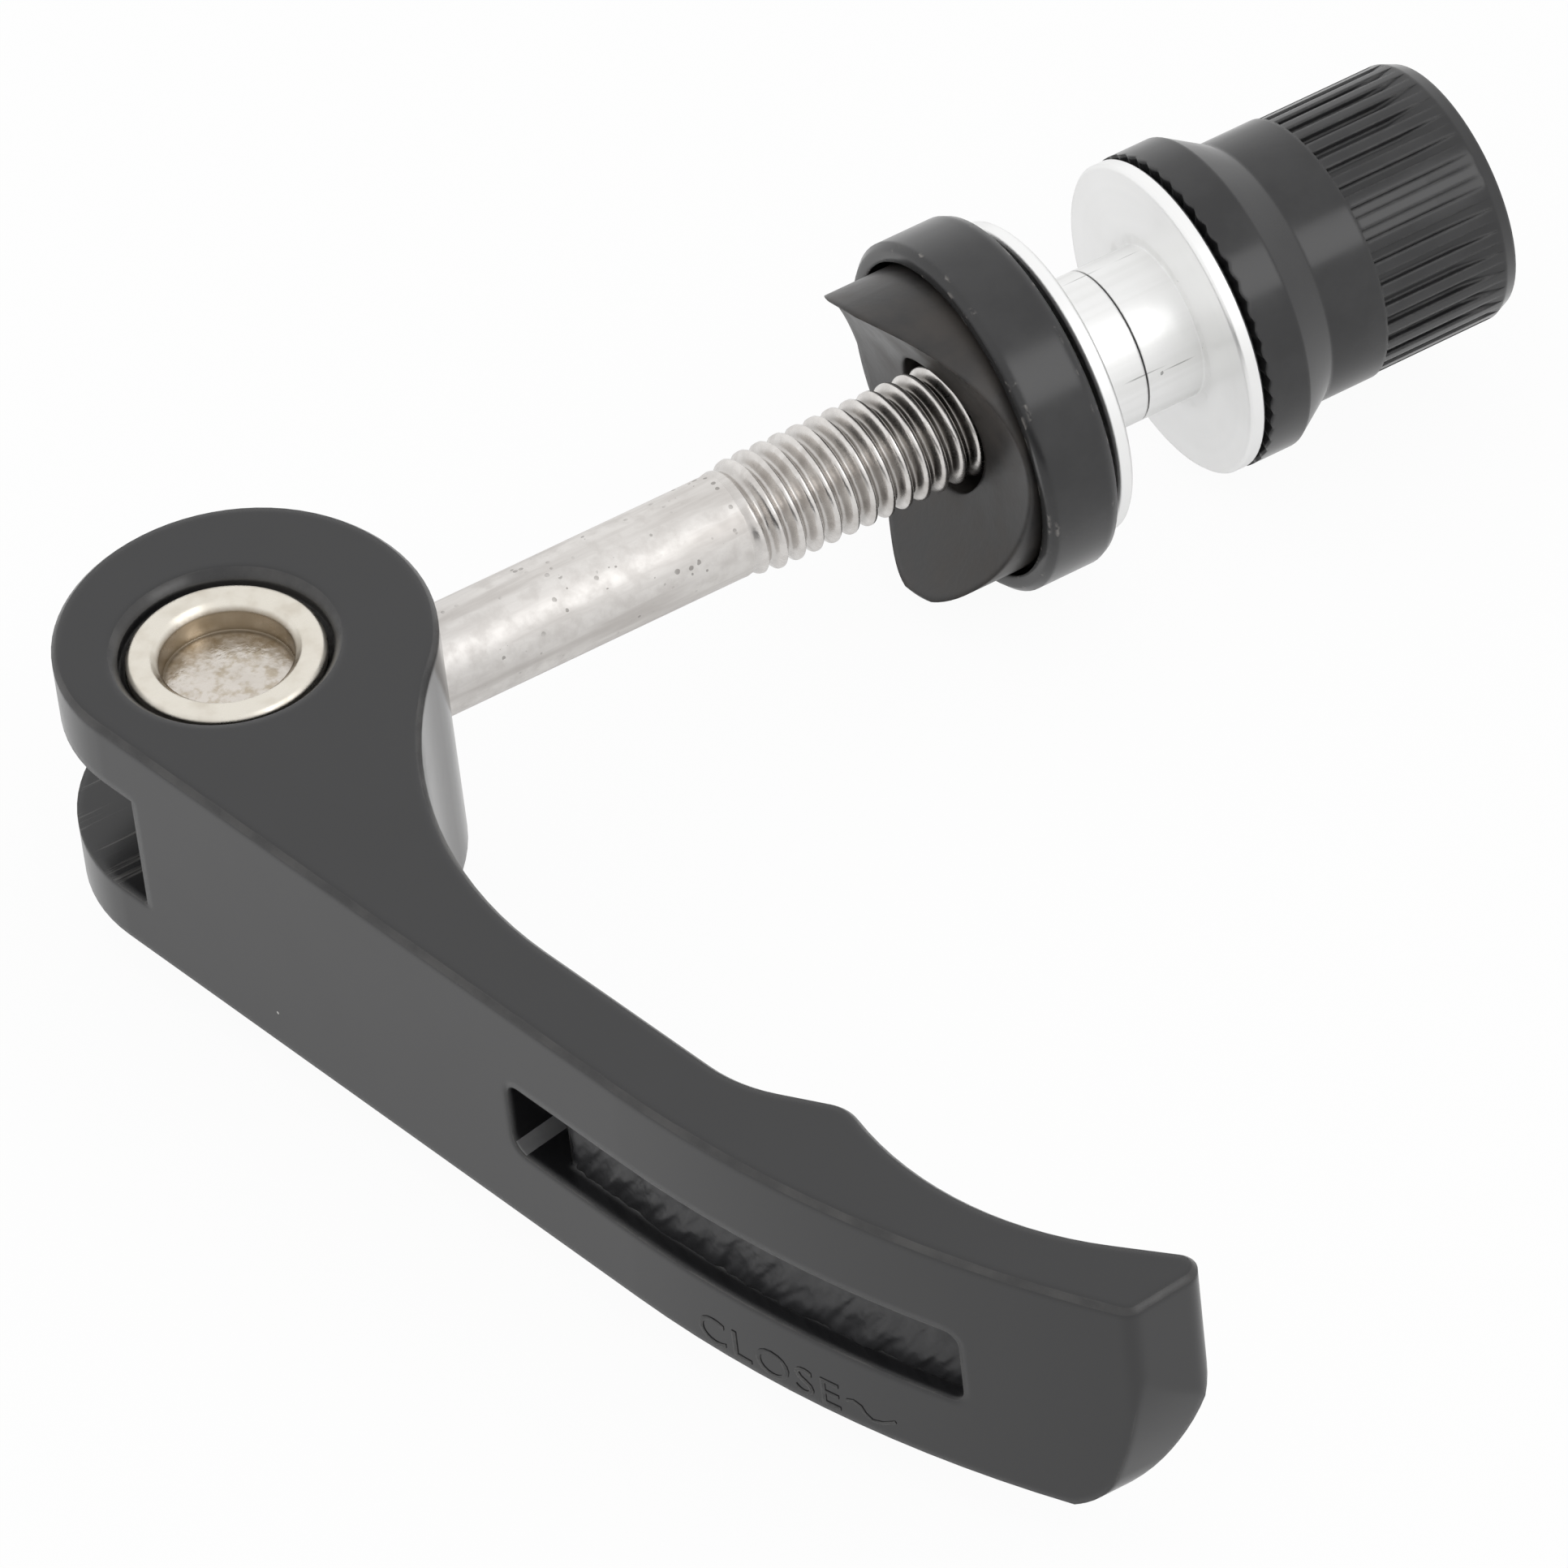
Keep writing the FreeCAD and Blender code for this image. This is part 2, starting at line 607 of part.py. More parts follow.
join(side_sketch, side_floor, 2, side_down, 1)
join(side_sketch, side_down, 2, side_arc, 1)
for upright in (side_wall, side_down):
    side_sketch.addConstraint(Sketcher.Constraint("Vertical", upright))
for level in (side_top, side_floor):
    side_sketch.addConstraint(Sketcher.Constraint("Horizontal", level))
side_sketch.addConstraint(Sketcher.Constraint("PointOnObject", side_arc, 3, side_top))
side_sketch.addConstraint(Sketcher.Constraint("PointOnObject", side_arc, 3, side_down))
under_rise_formula = "(lever_width / 2 - tip_under_round + tip_end_crest)"
under_run_formula = "sqrt((tip_end_radius - tip_under_round) ^ 2 - " + under_rise_formula + " ^ 2)"
side_drop_formula = (
    "tip_under_round + (lever_reach - tip_end_radius + " + under_run_formula + ") * cos(tip_side_tilt * 1 deg)"
    " + (lever_width / 2 - tip_under_round) * sin(tip_side_tilt * 1 deg)")
drive(side_sketch, "Radius", (side_arc,), side_radius, "tip_side_round")
drive(side_sketch, "DistanceX", (side_arc, 2, tip_edge, 2), size("tip_side_inset"), "tip_side_inset")
drive(side_sketch, "DistanceY", (side_arc, 1, -1, 1), side_drop, side_drop_formula)
drive(side_sketch, "DistanceX", (side_top,), side_radius, "tip_side_round")
drive(side_sketch, "DistanceY", (side_down,), side_radius, "tip_side_round")
tip_side = pocket_both_ways(lever, "tip_side", side_sketch)

# Cross barrel, turned with a recess in each end
barrel = new_body("pivot_barrel")
stand_at(barrel, "- seat_to_barrel")
barrel_sketch = new_sketch(barrel, "barrel_outline", "XZ_Plane")
recess_floor = "barrel_half_length - barrel_recess_depth"
lip_out = "barrel_recess_radius + barrel_lip_round"
lip_in = "barrel_half_length - barrel_lip_round"
edge_out = "barrel_radius - barrel_edge_chamfer"
edge_in = "barrel_half_length - barrel_edge_chamfer"
upper_corners = [
    ("barrel_radius", edge_in),
    (edge_out, "barrel_half_length"),
    (lip_out, "barrel_half_length"),
    ("barrel_recess_radius", lip_in),
    ("barrel_recess_radius", recess_floor),
    ("", recess_floor),
]
lower_corners = [(across, "- (" + up + ")") for across, up in reversed(upper_corners)]
polygon(barrel_sketch, lower_corners + upper_corners)
barrel_turned = revolve(barrel, "barrel_turned", barrel_sketch, "V_Axis")
bolt_hole_sketch = new_sketch(barrel, "bolt_hole_outline", "YZ_Plane")
bolt_hole_sketch.setExpression("AttachmentOffset.Base.z", bound("- bolt_buried_length"))
circle = bolt_hole_sketch.addGeometry(
    Part.Circle(Vector(0, 0, 0), Vector(0, 0, 1), size("bolt_shank_radius")), False)
join(bolt_hole_sketch, circle, 3, -1, 1)
drive(bolt_hole_sketch, "Radius", (circle,), size("bolt_shank_radius"), "bolt_shank_radius")
bolt_hole = pocket_one_way(barrel, "bolt_hole", bolt_hole_sketch, True)

# Clamp bolt, thread drawn as a plain cylinder at its outer size
bolt = new_body("clamp_bolt")
stand_at(bolt, "- seat_to_barrel")
bolt_sketch = new_sketch(bolt, "bolt_outline", "XY_Plane")
polygon(bolt_sketch, [
    ("- bolt_buried_length", ""),
    ("bolt_end", ""),
    ("bolt_end", "thread_radius - bolt_end_chamfer"),
    ("bolt_end - bolt_end_chamfer", "thread_radius"),
    ("thread_start + thread_runout", "thread_radius"),
    ("thread_start", "bolt_shank_radius"),
    ("- bolt_buried_length", "bolt_shank_radius"),
])
bolt_turned = revolve(bolt, "bolt_turned", bolt_sketch, "H_Axis")

# Cup that holds the saddle; local origin at its base face
cup = new_body("saddle_cup")
cup_base_place = "- flange_thickness - cup_to_bush_gap"
stand_at(cup, cup_base_place)
cup_sketch = new_sketch(cup, "cup_outline", "XY_Plane")
cup_bore = "saddle_radius + cup_side_gap"
cup_outside = cup_bore + " + cup_wall"
cup_outside_size = size("saddle_radius") + size("cup_side_gap") + size("cup_wall")
cup_hole = "thread_radius + cup_hole_clearance"
base_step = "cup_base_round * (1 - cos(45 deg))"
polygon(cup_sketch, [
    ("", cup_hole),
    ("", cup_outside + " - cup_base_round"),
    ("- " + base_step, cup_outside + " - " + base_step),
    ("- cup_base_round", cup_outside),
    ("- cup_height", cup_outside),
    ("- cup_height", cup_bore),
    ("- cup_floor", cup_bore),
    ("- cup_floor", cup_hole),
])
cup_turned = revolve(cup, "cup_turned", cup_sketch, "H_Axis")


def ring_at(place, radius):
    def check(edge):
        ring = edge.Curve.TypeId == "Part::GeomCircle"
        return ring and abs(edge.Curve.Radius - radius) < near and abs(edge.Curve.Center.x - place) < near
    return check


cup_rim_edges = edges_where(cup_turned.Shape, ring_at(-size("cup_height"), cup_outside_size))
cup_rim_chamfer = dress(cup, "Chamfer", "cup_rim_chamfer", cup_turned, cup_rim_edges, "Size", "cup_rim_chamfer")

# Cam saddle; local origin at the lowest point of its round seat, horns along local Y
saddle = new_body("cam_saddle")
saddle_place = cup_base_place + " - cup_floor - cup_floor_gap - saddle_base_thickness"
saddle.Placement = Placement(Vector(0, 0, 0), Rotation(Vector(1, 0, 0), size("saddle_rest_turn")))
stand_at(saddle, saddle_place)
saddle_sketch = new_sketch(saddle, "saddle_outline", "XY_Plane")
saddle_bore = "thread_radius + saddle_bore_clearance"
polygon(saddle_sketch, [
    ("- saddle_horn_height", saddle_bore),
    ("saddle_base_thickness", saddle_bore),
    ("saddle_base_thickness", "saddle_radius - saddle_base_chamfer"),
    ("saddle_base_thickness - saddle_base_chamfer", "saddle_radius"),
    ("- saddle_horn_height", "saddle_radius"),
])
saddle_turned = revolve(saddle, "saddle_turned", saddle_sketch, "H_Axis")
seat_sketch = new_sketch(saddle, "saddle_seat_outline", "XY_Plane")
seat_radius = "cam_radius + cam_offset + saddle_seat_clearance"
seat_size = dwell_radius + size("saddle_seat_clearance")
seat_circle = seat_sketch.addGeometry(Part.Circle(Vector(-seat_size, 0, 0), Vector(0, 0, 1), seat_size), False)
seat_sketch.addConstraint(Sketcher.Constraint("PointOnObject", seat_circle, 3, -1))
drive(seat_sketch, "DistanceX", (seat_circle, 3, -1, 1), seat_size, seat_radius)
drive(seat_sketch, "Radius", (seat_circle,), seat_size, seat_radius)
saddle_seat = pocket_both_ways(saddle, "saddle_seat", seat_sketch)

# Flanged bushes, sleeves facing each other
bush_bore = "thread_radius + bush_bore_clearance"


def flanged_bush(label, place, sleeve_length, side):
    # local origin at the flange's seat face; side is the way the sleeve points
    body = new_body(label)
    stand_at(body, place)
    profile = new_sketch(body, label + "_outline", "XY_Plane")
    sleeve_end = side + sleeve_length
    flange_back = "- (" + side + "flange_thickness)"
    polygon(profile, [
        (flange_back, bush_bore),
        (flange_back, "flange_radius"),
        ("", "flange_radius"),
        ("", "sleeve_radius"),
        (sleeve_end, "sleeve_radius"),
        (sleeve_end, bush_bore),
    ])
    turned = revolve(body, label + "_turned", profile, "H_Axis")
    rims = edges_where(
        turned.Shape, lambda edge: edge.Curve.TypeId == "Part::GeomCircle"
        and abs(edge.Curve.Radius - size("flange_radius")) < near)
    dress(body, "Chamfer", label + "_edge_break", turned, rims, "Size", "flange_edge_break")
    return body


inner_bush = flanged_bush("inner_bush", "0", "inner_sleeve_length", "")
outer_seat_place = "inner_sleeve_length + sleeve_gap + outer_sleeve_length"
outer_bush = flanged_bush("outer_bush", outer_seat_place, "outer_sleeve_length", "- ")

# Adjuster nut; local origin at its toothed clamp face
nut = new_body("adjuster_nut")
nut_place = outer_seat_place + " + flange_thickness + nut_to_flange_gap"
stand_at(nut, nut_place)
nut_sketch = new_sketch(nut, "nut_outline", "XY_Plane")
nut_bore = "thread_radius + nut_bore_clearance"
cone_end = "nut_flange_length + nut_cone_length"
neck_end = cone_end + " + nut_neck_length"
knob_end = neck_end + " + nut_knob_length"
bore_end = knob_end + " - nut_cap_thickness"
end_step = "nut_end_round * (1 - cos(45 deg))"
polygon(nut_sketch, [
    ("", nut_bore),
    ("", "nut_flange_radius"),
    ("nut_flange_length", "nut_flange_radius"),
    (cone_end, "nut_neck_radius"),
    (neck_end, "nut_neck_radius"),
    (neck_end, "nut_knob_radius"),
    (knob_end + " - nut_end_round", "nut_knob_radius"),
    (knob_end + " - " + end_step, "nut_knob_radius - " + end_step),
    (knob_end, "nut_knob_radius - nut_end_round"),
    (knob_end, ""),
    (bore_end, ""),
    (bore_end, nut_bore),
])
nut_turned = revolve(nut, "nut_turned", nut_sketch, "H_Axis")

# Grip grooves start square at the neck and fade out before the rounded end
groove_sketch = new_sketch(nut, "grip_groove_outline", "XY_Plane")
groove_end = knob_end + " - nut_end_round"
groove_floor = "nut_knob_radius - grip_groove_depth"
groove_mouth = "nut_knob_radius + grip_groove_depth"
polygon(groove_sketch, [
    (neck_end, groove_floor),
    (groove_end + " - grip_groove_fade", groove_floor),
    (groove_end, "nut_knob_radius"),
    (groove_end, groove_mouth),
    (neck_end, groove_mouth),
])
grip_groove = pocket_both_ways(nut, "grip_groove", groove_sketch, "grip_groove_width")
grip_grooves = polar(nut, "grip_grooves", grip_groove, nut_sketch, "grip_groove_count")

# Shallow teeth on the clamp face
tooth_sketch = new_sketch(nut, "tooth_gap_outline", "XZ_Plane")
tooth_sketch.setExpression("AttachmentOffset.Base.z", bound("- tooth_ring_inner_radius"))
polygon(tooth_sketch, [
    ("- tooth_depth", "- tooth_half_width * 2"),
    ("tooth_depth", ""),
    ("- tooth_depth", "tooth_half_width * 2"),
])
tooth_gap = pocket_one_way(nut, "tooth_gap", tooth_sketch, False)
tooth_gaps = polar(nut, "tooth_gaps", tooth_gap, nut_sketch, "tooth_count")

# Every object is checked before the solids are written
doc.recompute()
for item in doc.Objects:
    if "Invalid" in item.State or "Error" in item.State:
        raise RuntimeError(item.Name + " did not compute")

os.makedirs("parts", exist_ok=True)
for body in (lever, barrel, bolt, saddle, cup, inner_bush, outer_bush, nut):
    if body.Shape.isNull() or not body.Shape.isValid() or len(body.Shape.Solids) != 1:
        raise RuntimeError(body.Label + " is not one sound solid")
    body.Shape.exportStep("parts/" + body.Label + ".step")
    box = body.Shape.BoundBox
    print(body.Label, round(body.Shape.Volume, 2), box)
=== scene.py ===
import math
import bpy
import bmesh
from mathutils import Matrix, Vector, noise


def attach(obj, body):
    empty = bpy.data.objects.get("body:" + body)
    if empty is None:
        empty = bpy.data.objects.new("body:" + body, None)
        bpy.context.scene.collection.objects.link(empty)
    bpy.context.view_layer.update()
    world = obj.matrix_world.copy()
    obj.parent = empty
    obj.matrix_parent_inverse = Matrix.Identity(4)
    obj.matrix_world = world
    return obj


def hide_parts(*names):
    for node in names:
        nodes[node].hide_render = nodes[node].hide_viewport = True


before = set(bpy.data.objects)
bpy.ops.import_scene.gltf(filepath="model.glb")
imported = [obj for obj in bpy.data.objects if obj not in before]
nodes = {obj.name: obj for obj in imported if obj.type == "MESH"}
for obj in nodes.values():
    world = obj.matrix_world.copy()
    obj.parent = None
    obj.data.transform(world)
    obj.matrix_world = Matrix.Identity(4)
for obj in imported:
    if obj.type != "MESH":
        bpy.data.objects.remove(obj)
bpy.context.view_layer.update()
mm = 0.001
pivotX = -44.45  # barrel axis, seen from the seat face of the inner bush
bevelSamples = 6
print("frame loaded:", ", ".join(sorted(nodes)))


# node helpers

def addNode(tree, kind, **settings):
    node = tree.nodes.new(kind)
    for name, value in settings.items():
        setattr(node, name, value)
    return node


def wire(tree, start, end):
    tree.links.new(start, end)


def mathNode(tree, operation, first, second=None, clamp=False):
    node = addNode(tree, "ShaderNodeMath", operation=operation, use_clamp=clamp)
    for place, value in enumerate((first, second)):
        if value is None:
            continue
        if isinstance(value, (int, float)):
            node.inputs[place].default_value = value
        else:
            wire(tree, value, node.inputs[place])
    return node.outputs[0]


def rangeNode(tree, value, low, high, toLow=0.0, toHigh=1.0):
    node = addNode(tree, "ShaderNodeMapRange", interpolation_type="SMOOTHSTEP")
    wire(tree, value, node.inputs["Value"])
    for name, number in (("From Min", low), ("From Max", high), ("To Min", toLow), ("To Max", toHigh)):
        if isinstance(number, (int, float)):
            node.inputs[name].default_value = number
        else:
            wire(tree, number, node.inputs[name])
    return node.outputs["Result"]


def mixColour(tree, factor, first, second):
    node = addNode(tree, "ShaderNodeMix", data_type="RGBA")
    for place, value in ((0, factor), (6, first), (7, second)):
        if isinstance(value, (int, float)):
            node.inputs[place].default_value = value
        elif isinstance(value, tuple):
            node.inputs[place].default_value = (*value, 1.0)
        else:
            wire(tree, value, node.inputs[place])
    return node.outputs[2]


def newGroup(name, inputs, outputs):
    group = bpy.data.node_groups.new(name, "ShaderNodeTree")
    for label, value in inputs:
        socket = group.interface.new_socket(name=label, in_out="INPUT", socket_type="NodeSocketFloat")
        socket.default_value = value
    for label in outputs:
        group.interface.new_socket(name=label, in_out="OUTPUT", socket_type="NodeSocketFloat")
    return group, addNode(group, "NodeGroupInput").outputs, addNode(group, "NodeGroupOutput").inputs


def noiseIn(tree, scale, detail, rough=0.55, stretch=None):
    place = addNode(tree, "ShaderNodeTexCoord").outputs["Object"]
    if stretch:
        squeeze = addNode(tree, "ShaderNodeMapping")
        squeeze.inputs["Scale"].default_value = stretch
        wire(tree, place, squeeze.inputs["Vector"])
        place = squeeze.outputs["Vector"]
    texture = addNode(tree, "ShaderNodeTexNoise")
    wire(tree, place, texture.inputs["Vector"])
    if isinstance(scale, (int, float)):
        texture.inputs["Scale"].default_value = scale
    else:
        wire(tree, scale, texture.inputs["Scale"])
    texture.inputs["Detail"].default_value = detail
    texture.inputs["Roughness"].default_value = rough
    return texture.outputs["Fac"]


# effects that the finishes use, each with its own values

def makeGrain():
    group, given, put = newGroup(
        "finishGrain", [("Fine Scale", 9000.0), ("Cloud Scale", 260.0)], ["Grain", "Cloud"])
    wire(group, noiseIn(group, given["Fine Scale"], 3.0), put["Grain"])
    wire(group, noiseIn(group, given["Cloud Scale"], 4.0), put["Cloud"])
    return group


# edge mask broken into patches: rubbed wear on the cup, saddle, nut and window, part wear and part painted
# highlight on the lever, painted highlight on the deep round
def makeEdgeRub():
    group, given, put = newGroup(
        "edgeRub", [("Radius", 0.00025), ("Breakup", 900.0), ("Low", 0.04), ("High", 0.3),
                    ("Patch Low", 0.35), ("Patch High", 0.65)], ["Rub"])
    rounded = addNode(group, "ShaderNodeBevel", samples=bevelSamples)
    wire(group, given["Radius"], rounded.inputs["Radius"])
    facing = addNode(group, "ShaderNodeVectorMath", operation="DOT_PRODUCT")
    wire(group, rounded.outputs["Normal"], facing.inputs[0])
    wire(group, addNode(group, "ShaderNodeNewGeometry").outputs["Normal"], facing.inputs[1])
    turned = mathNode(group, "SUBTRACT", 1.0, facing.outputs["Value"])
    edge = rangeNode(group, turned, given["Low"], given["High"])
    patchy = rangeNode(group, noiseIn(group, given["Breakup"], 4.0), given["Patch Low"], given["Patch High"])
    wire(group, mathNode(group, "MULTIPLY", edge, patchy, clamp=True), put["Rub"])
    return group


def makeSpecks():
    group, given, put = newGroup(
        "fineSpecks", [("Scale", 900.0), ("Size", 0.05), ("Share", 0.1), ("Ragged", 0.0)], ["Speck"])
    ripple = addNode(group, "ShaderNodeTexNoise")
    ripple.inputs["Scale"].default_value = 2600.0
    spot = addNode(group, "ShaderNodeTexCoord").outputs["Object"]
    wire(group, spot, ripple.inputs["Vector"])
    pull = addNode(group, "ShaderNodeVectorMath", operation="SCALE")
    wire(group, ripple.outputs["Color"], pull.inputs[0])
    wire(group, given["Ragged"], pull.inputs["Scale"])
    torn = addNode(group, "ShaderNodeVectorMath", operation="ADD")
    wire(group, spot, torn.inputs[0])
    wire(group, pull.outputs["Vector"], torn.inputs[1])
    cells = addNode(group, "ShaderNodeTexVoronoi")
    wire(group, torn.outputs["Vector"], cells.inputs["Vector"])
    wire(group, given["Scale"], cells.inputs["Scale"])
    split = addNode(group, "ShaderNodeSeparateColor")
    wire(group, cells.outputs["Color"], split.inputs["Color"])
    chosen = mathNode(group, "LESS_THAN", split.outputs["Red"], given["Share"])
    reach = mathNode(group, "MULTIPLY", given["Size"], split.outputs["Green"])
    inside = mathNode(group, "LESS_THAN", cells.outputs["Distance"], reach)
    wire(group, mathNode(group, "MULTIPLY", chosen, inside), put["Speck"])
    return group


def makeTurning():
    # fine tool marks that run round the bolt axis, spaced by radius on faces and by X on sleeves
    group, given, put = newGroup("turningMarks", [("Ring Scale", 9000.0)], ["Marks", "Sweep"])
    place = addNode(group, "ShaderNodeTexCoord").outputs["Object"]
    apart = addNode(group, "ShaderNodeSeparateXYZ")
    wire(group, place, apart.inputs[0])
    flat = addNode(group, "ShaderNodeCombineXYZ")
    wire(group, apart.outputs["Y"], flat.inputs["X"])
    wire(group, apart.outputs["Z"], flat.inputs["Y"])
    out = addNode(group, "ShaderNodeVectorMath", operation="LENGTH")
    wire(group, flat.outputs[0], out.inputs[0])
    rings = addNode(group, "ShaderNodeCombineXYZ")
    wire(group, out.outputs["Value"], rings.inputs["X"])
    wire(group, apart.outputs["X"], rings.inputs["Y"])
    texture = addNode(group, "ShaderNodeTexNoise", noise_dimensions="2D")
    wire(group, rings.outputs[0], texture.inputs["Vector"])
    wire(group, given["Ring Scale"], texture.inputs["Scale"])
    texture.inputs["Detail"].default_value = 2.0
    wire(group, texture.outputs["Fac"], put["Marks"])
    wire(group, noiseIn(group, 180.0, 3.0), put["Sweep"])
    return group


grainGroup = makeGrain()
edgeRubGroup = makeEdgeRub()
speckGroup = makeSpecks()
turningGroup = makeTurning()
print("shared effects built")


def placeGroup(tree, group, **values):
    node = addNode(tree, "ShaderNodeGroup", node_tree=group)
    for name, value in values.items():
        node.inputs[name.replace("_", " ")].default_value = value
    return node.outputs


def newFinish(name, settings):
    material = bpy.data.materials.new(name)
    material.use_nodes = True
    tree = material.node_tree
    shader = tree.nodes["Principled BSDF"]
    for label, value in settings.items():
        shader.inputs[label].default_value = value
    return material, tree, shader.inputs


def softNormal(tree, radius, height, strength, distance):
    rounded = addNode(tree, "ShaderNodeBevel", samples=bevelSamples)
    rounded.inputs["Radius"].default_value = radius
    bump = addNode(tree, "ShaderNodeBump")
    bump.inputs["Strength"].default_value = strength
    bump.inputs["Distance"].default_value = distance
    wire(tree, height, bump.inputs["Height"])
    wire(tree, rounded.outputs["Normal"], bump.inputs["Normal"])
    return bump.outputs["Normal"]


def partsFrom(tree, centre):
    # how far a point lies from a centre, along X, Y and Z
    away = addNode(tree, "ShaderNodeVectorMath", operation="SUBTRACT")
    wire(tree, addNode(tree, "ShaderNodeTexCoord").outputs["Object"], away.inputs[0])
    away.inputs[1].default_value = centre
    apart = addNode(tree, "ShaderNodeSeparateXYZ")
    wire(tree, away.outputs["Vector"], apart.inputs[0])
    return apart.outputs


def radiusOf(tree, first, second):
    flat = addNode(tree, "ShaderNodeCombineXYZ")
    wire(tree, first, flat.inputs["X"])
    wire(tree, second, flat.inputs["Y"])
    out = addNode(tree, "ShaderNodeVectorMath", operation="LENGTH")
    wire(tree, flat.outputs[0], out.inputs[0])
    return out.outputs["Value"]


def faceTilt(tree):
    # 1 on level faces, 0 on upright ones
    apart = addNode(tree, "ShaderNodeSeparateXYZ")
    wire(tree, addNode(tree, "ShaderNodeNewGeometry").outputs["True Normal"], apart.inputs[0])
    return mathNode(tree, "ABSOLUTE", apart.outputs["Z"])


# lever: satin black coat, lighter on its sloped edges from rubbing and painted highlight, a painted
# reflection on the cam wall, sawn inside the fork

leverFinish = {
    "coat": (0.0095, 0.0095, 0.0105),
    "coatPale": (0.0135, 0.0135, 0.0145),
    "wearAndHighlight": (0.115, 0.110, 0.105),
    "sawn": (0.10, 0.098, 0.095),
    "dust": (0.5, 0.49, 0.47),
    "slotReach": 0.0034,
    "slotFloor": -0.0036,
    "camRadius": 0.0102,
    "camFade": 0.0135,
    "camFrom": -0.002,
    "camFull": 0.006,
    "camWearAndReflection": 0.4,
    "camPolish": 0.06,
    "slopeWearAndHighlightLow": 0.04,
    "slopeWearAndHighlightHigh": 0.34,
    "edgeShare": 0.9,
    "sawStretch": (0.05, 1.0, 1.0),
    "roughLow": 0.17,
    "roughHigh": 0.24,
    "edgeRadius": 0.0006,
}


def makeLeverBlack():
    material, tree, inputs = newFinish("leverBlack", {"Specular IOR Level": 0.5, "IOR": 1.57})
    grain = placeGroup(tree, grainGroup, Fine_Scale=11000.0, Cloud_Scale=160.0)
    edgeMask = placeGroup(tree, edgeRubGroup, Radius=0.00025, Breakup=520.0, Low=0.03, High=0.3)
    dust = placeGroup(tree, speckGroup, Scale=420.0, Size=0.034, Share=0.06)
    tilt = faceTilt(tree)
    # sloped faces and edges take a lighter colour in patches: part rubbed wear, part painted highlight along
    # the chamfers and rims
    slope = mathNode(tree, "MULTIPLY", rangeNode(tree, tilt, 0.45, 0.6), rangeNode(tree, tilt, 0.95, 0.8))
    patchy = rangeNode(tree, noiseIn(tree, 420.0, 4.0), 0.3, 0.7,
                       leverFinish["slopeWearAndHighlightLow"], leverFinish["slopeWearAndHighlightHigh"])
    edge = mathNode(tree, "MAXIMUM", mathNode(tree, "MULTIPLY", slope, patchy),
                    mathNode(tree, "MULTIPLY", edgeMask["Rub"], leverFinish["edgeShare"]))
    place = partsFrom(tree, (pivotX * mm, 0.0, 0.0))
    height = mathNode(tree, "ABSOLUTE", place["Z"])
    inFork = mathNode(tree, "MULTIPLY", mathNode(tree, "LESS_THAN", height, leverFinish["slotReach"]),
                      mathNode(tree, "GREATER_THAN", place["Y"], leverFinish["slotFloor"]))
    cheek = mathNode(tree, "MULTIPLY", inFork, rangeNode(tree, tilt, 0.9, 0.98))
    out = radiusOf(tree, place["X"], place["Y"])
    # the cam wall takes the lighter colour too: a painted reflection of its grazing sheen, with some polish
    # from the saddle
    onCam = mathNode(tree, "MULTIPLY",
                     rangeNode(tree, place["X"], leverFinish["camFrom"], leverFinish["camFull"]),
                     rangeNode(tree, out, leverFinish["camFade"], leverFinish["camRadius"]))
    camWall = mathNode(tree, "MULTIPLY", onCam, rangeNode(tree, tilt, 0.3, 0.1))
    lines = rangeNode(tree, noiseIn(tree, 2600.0, 3.0, stretch=leverFinish["sawStretch"]), 0.54, 0.68)
    coat = mixColour(tree, grain["Cloud"], leverFinish["coat"], leverFinish["coatPale"])
    sawn = mixColour(tree, mathNode(tree, "MULTIPLY", cheek, lines), coat, leverFinish["sawn"])
    bright = mathNode(tree, "MAXIMUM", edge, mathNode(tree, "MULTIPLY", camWall, leverFinish["camWearAndReflection"]))
    toned = mixColour(tree, bright, sawn, leverFinish["wearAndHighlight"])
    wire(tree, mixColour(tree, dust["Speck"], toned, leverFinish["dust"]), inputs["Base Color"])
    rough = rangeNode(tree, grain["Cloud"], 0.3, 0.7, leverFinish["roughLow"], leverFinish["roughHigh"])
    polish = mathNode(tree, "MULTIPLY", camWall, leverFinish["camPolish"])
    wire(tree, mathNode(tree, "SUBTRACT", rough, polish), inputs["Roughness"])
    wire(tree, softNormal(tree, leverFinish["edgeRadius"], grain["Grain"], 0.03, 0.00002), inputs["Normal"])
    return material


# barrel: warm nickel on the rim, brown wall of the recess, torn silvery floor

barrelFinish = {
    "nickel": (0.775, 0.735, 0.655),
    "tarnish": (0.50, 0.435, 0.345),
    "wall": (0.33, 0.27, 0.195),
    "floor": (0.70, 0.655, 0.60),
    "foot": (0.22, 0.18, 0.13),
    "rimInner": 0.00345,
    "recessOuter": 0.00315,
    "footInner": 0.00285,
    "footOuter": 0.00318,
    "stainShare": 0.35,
    "roughRim": 0.22,
    "roughFloor": 0.40,
}


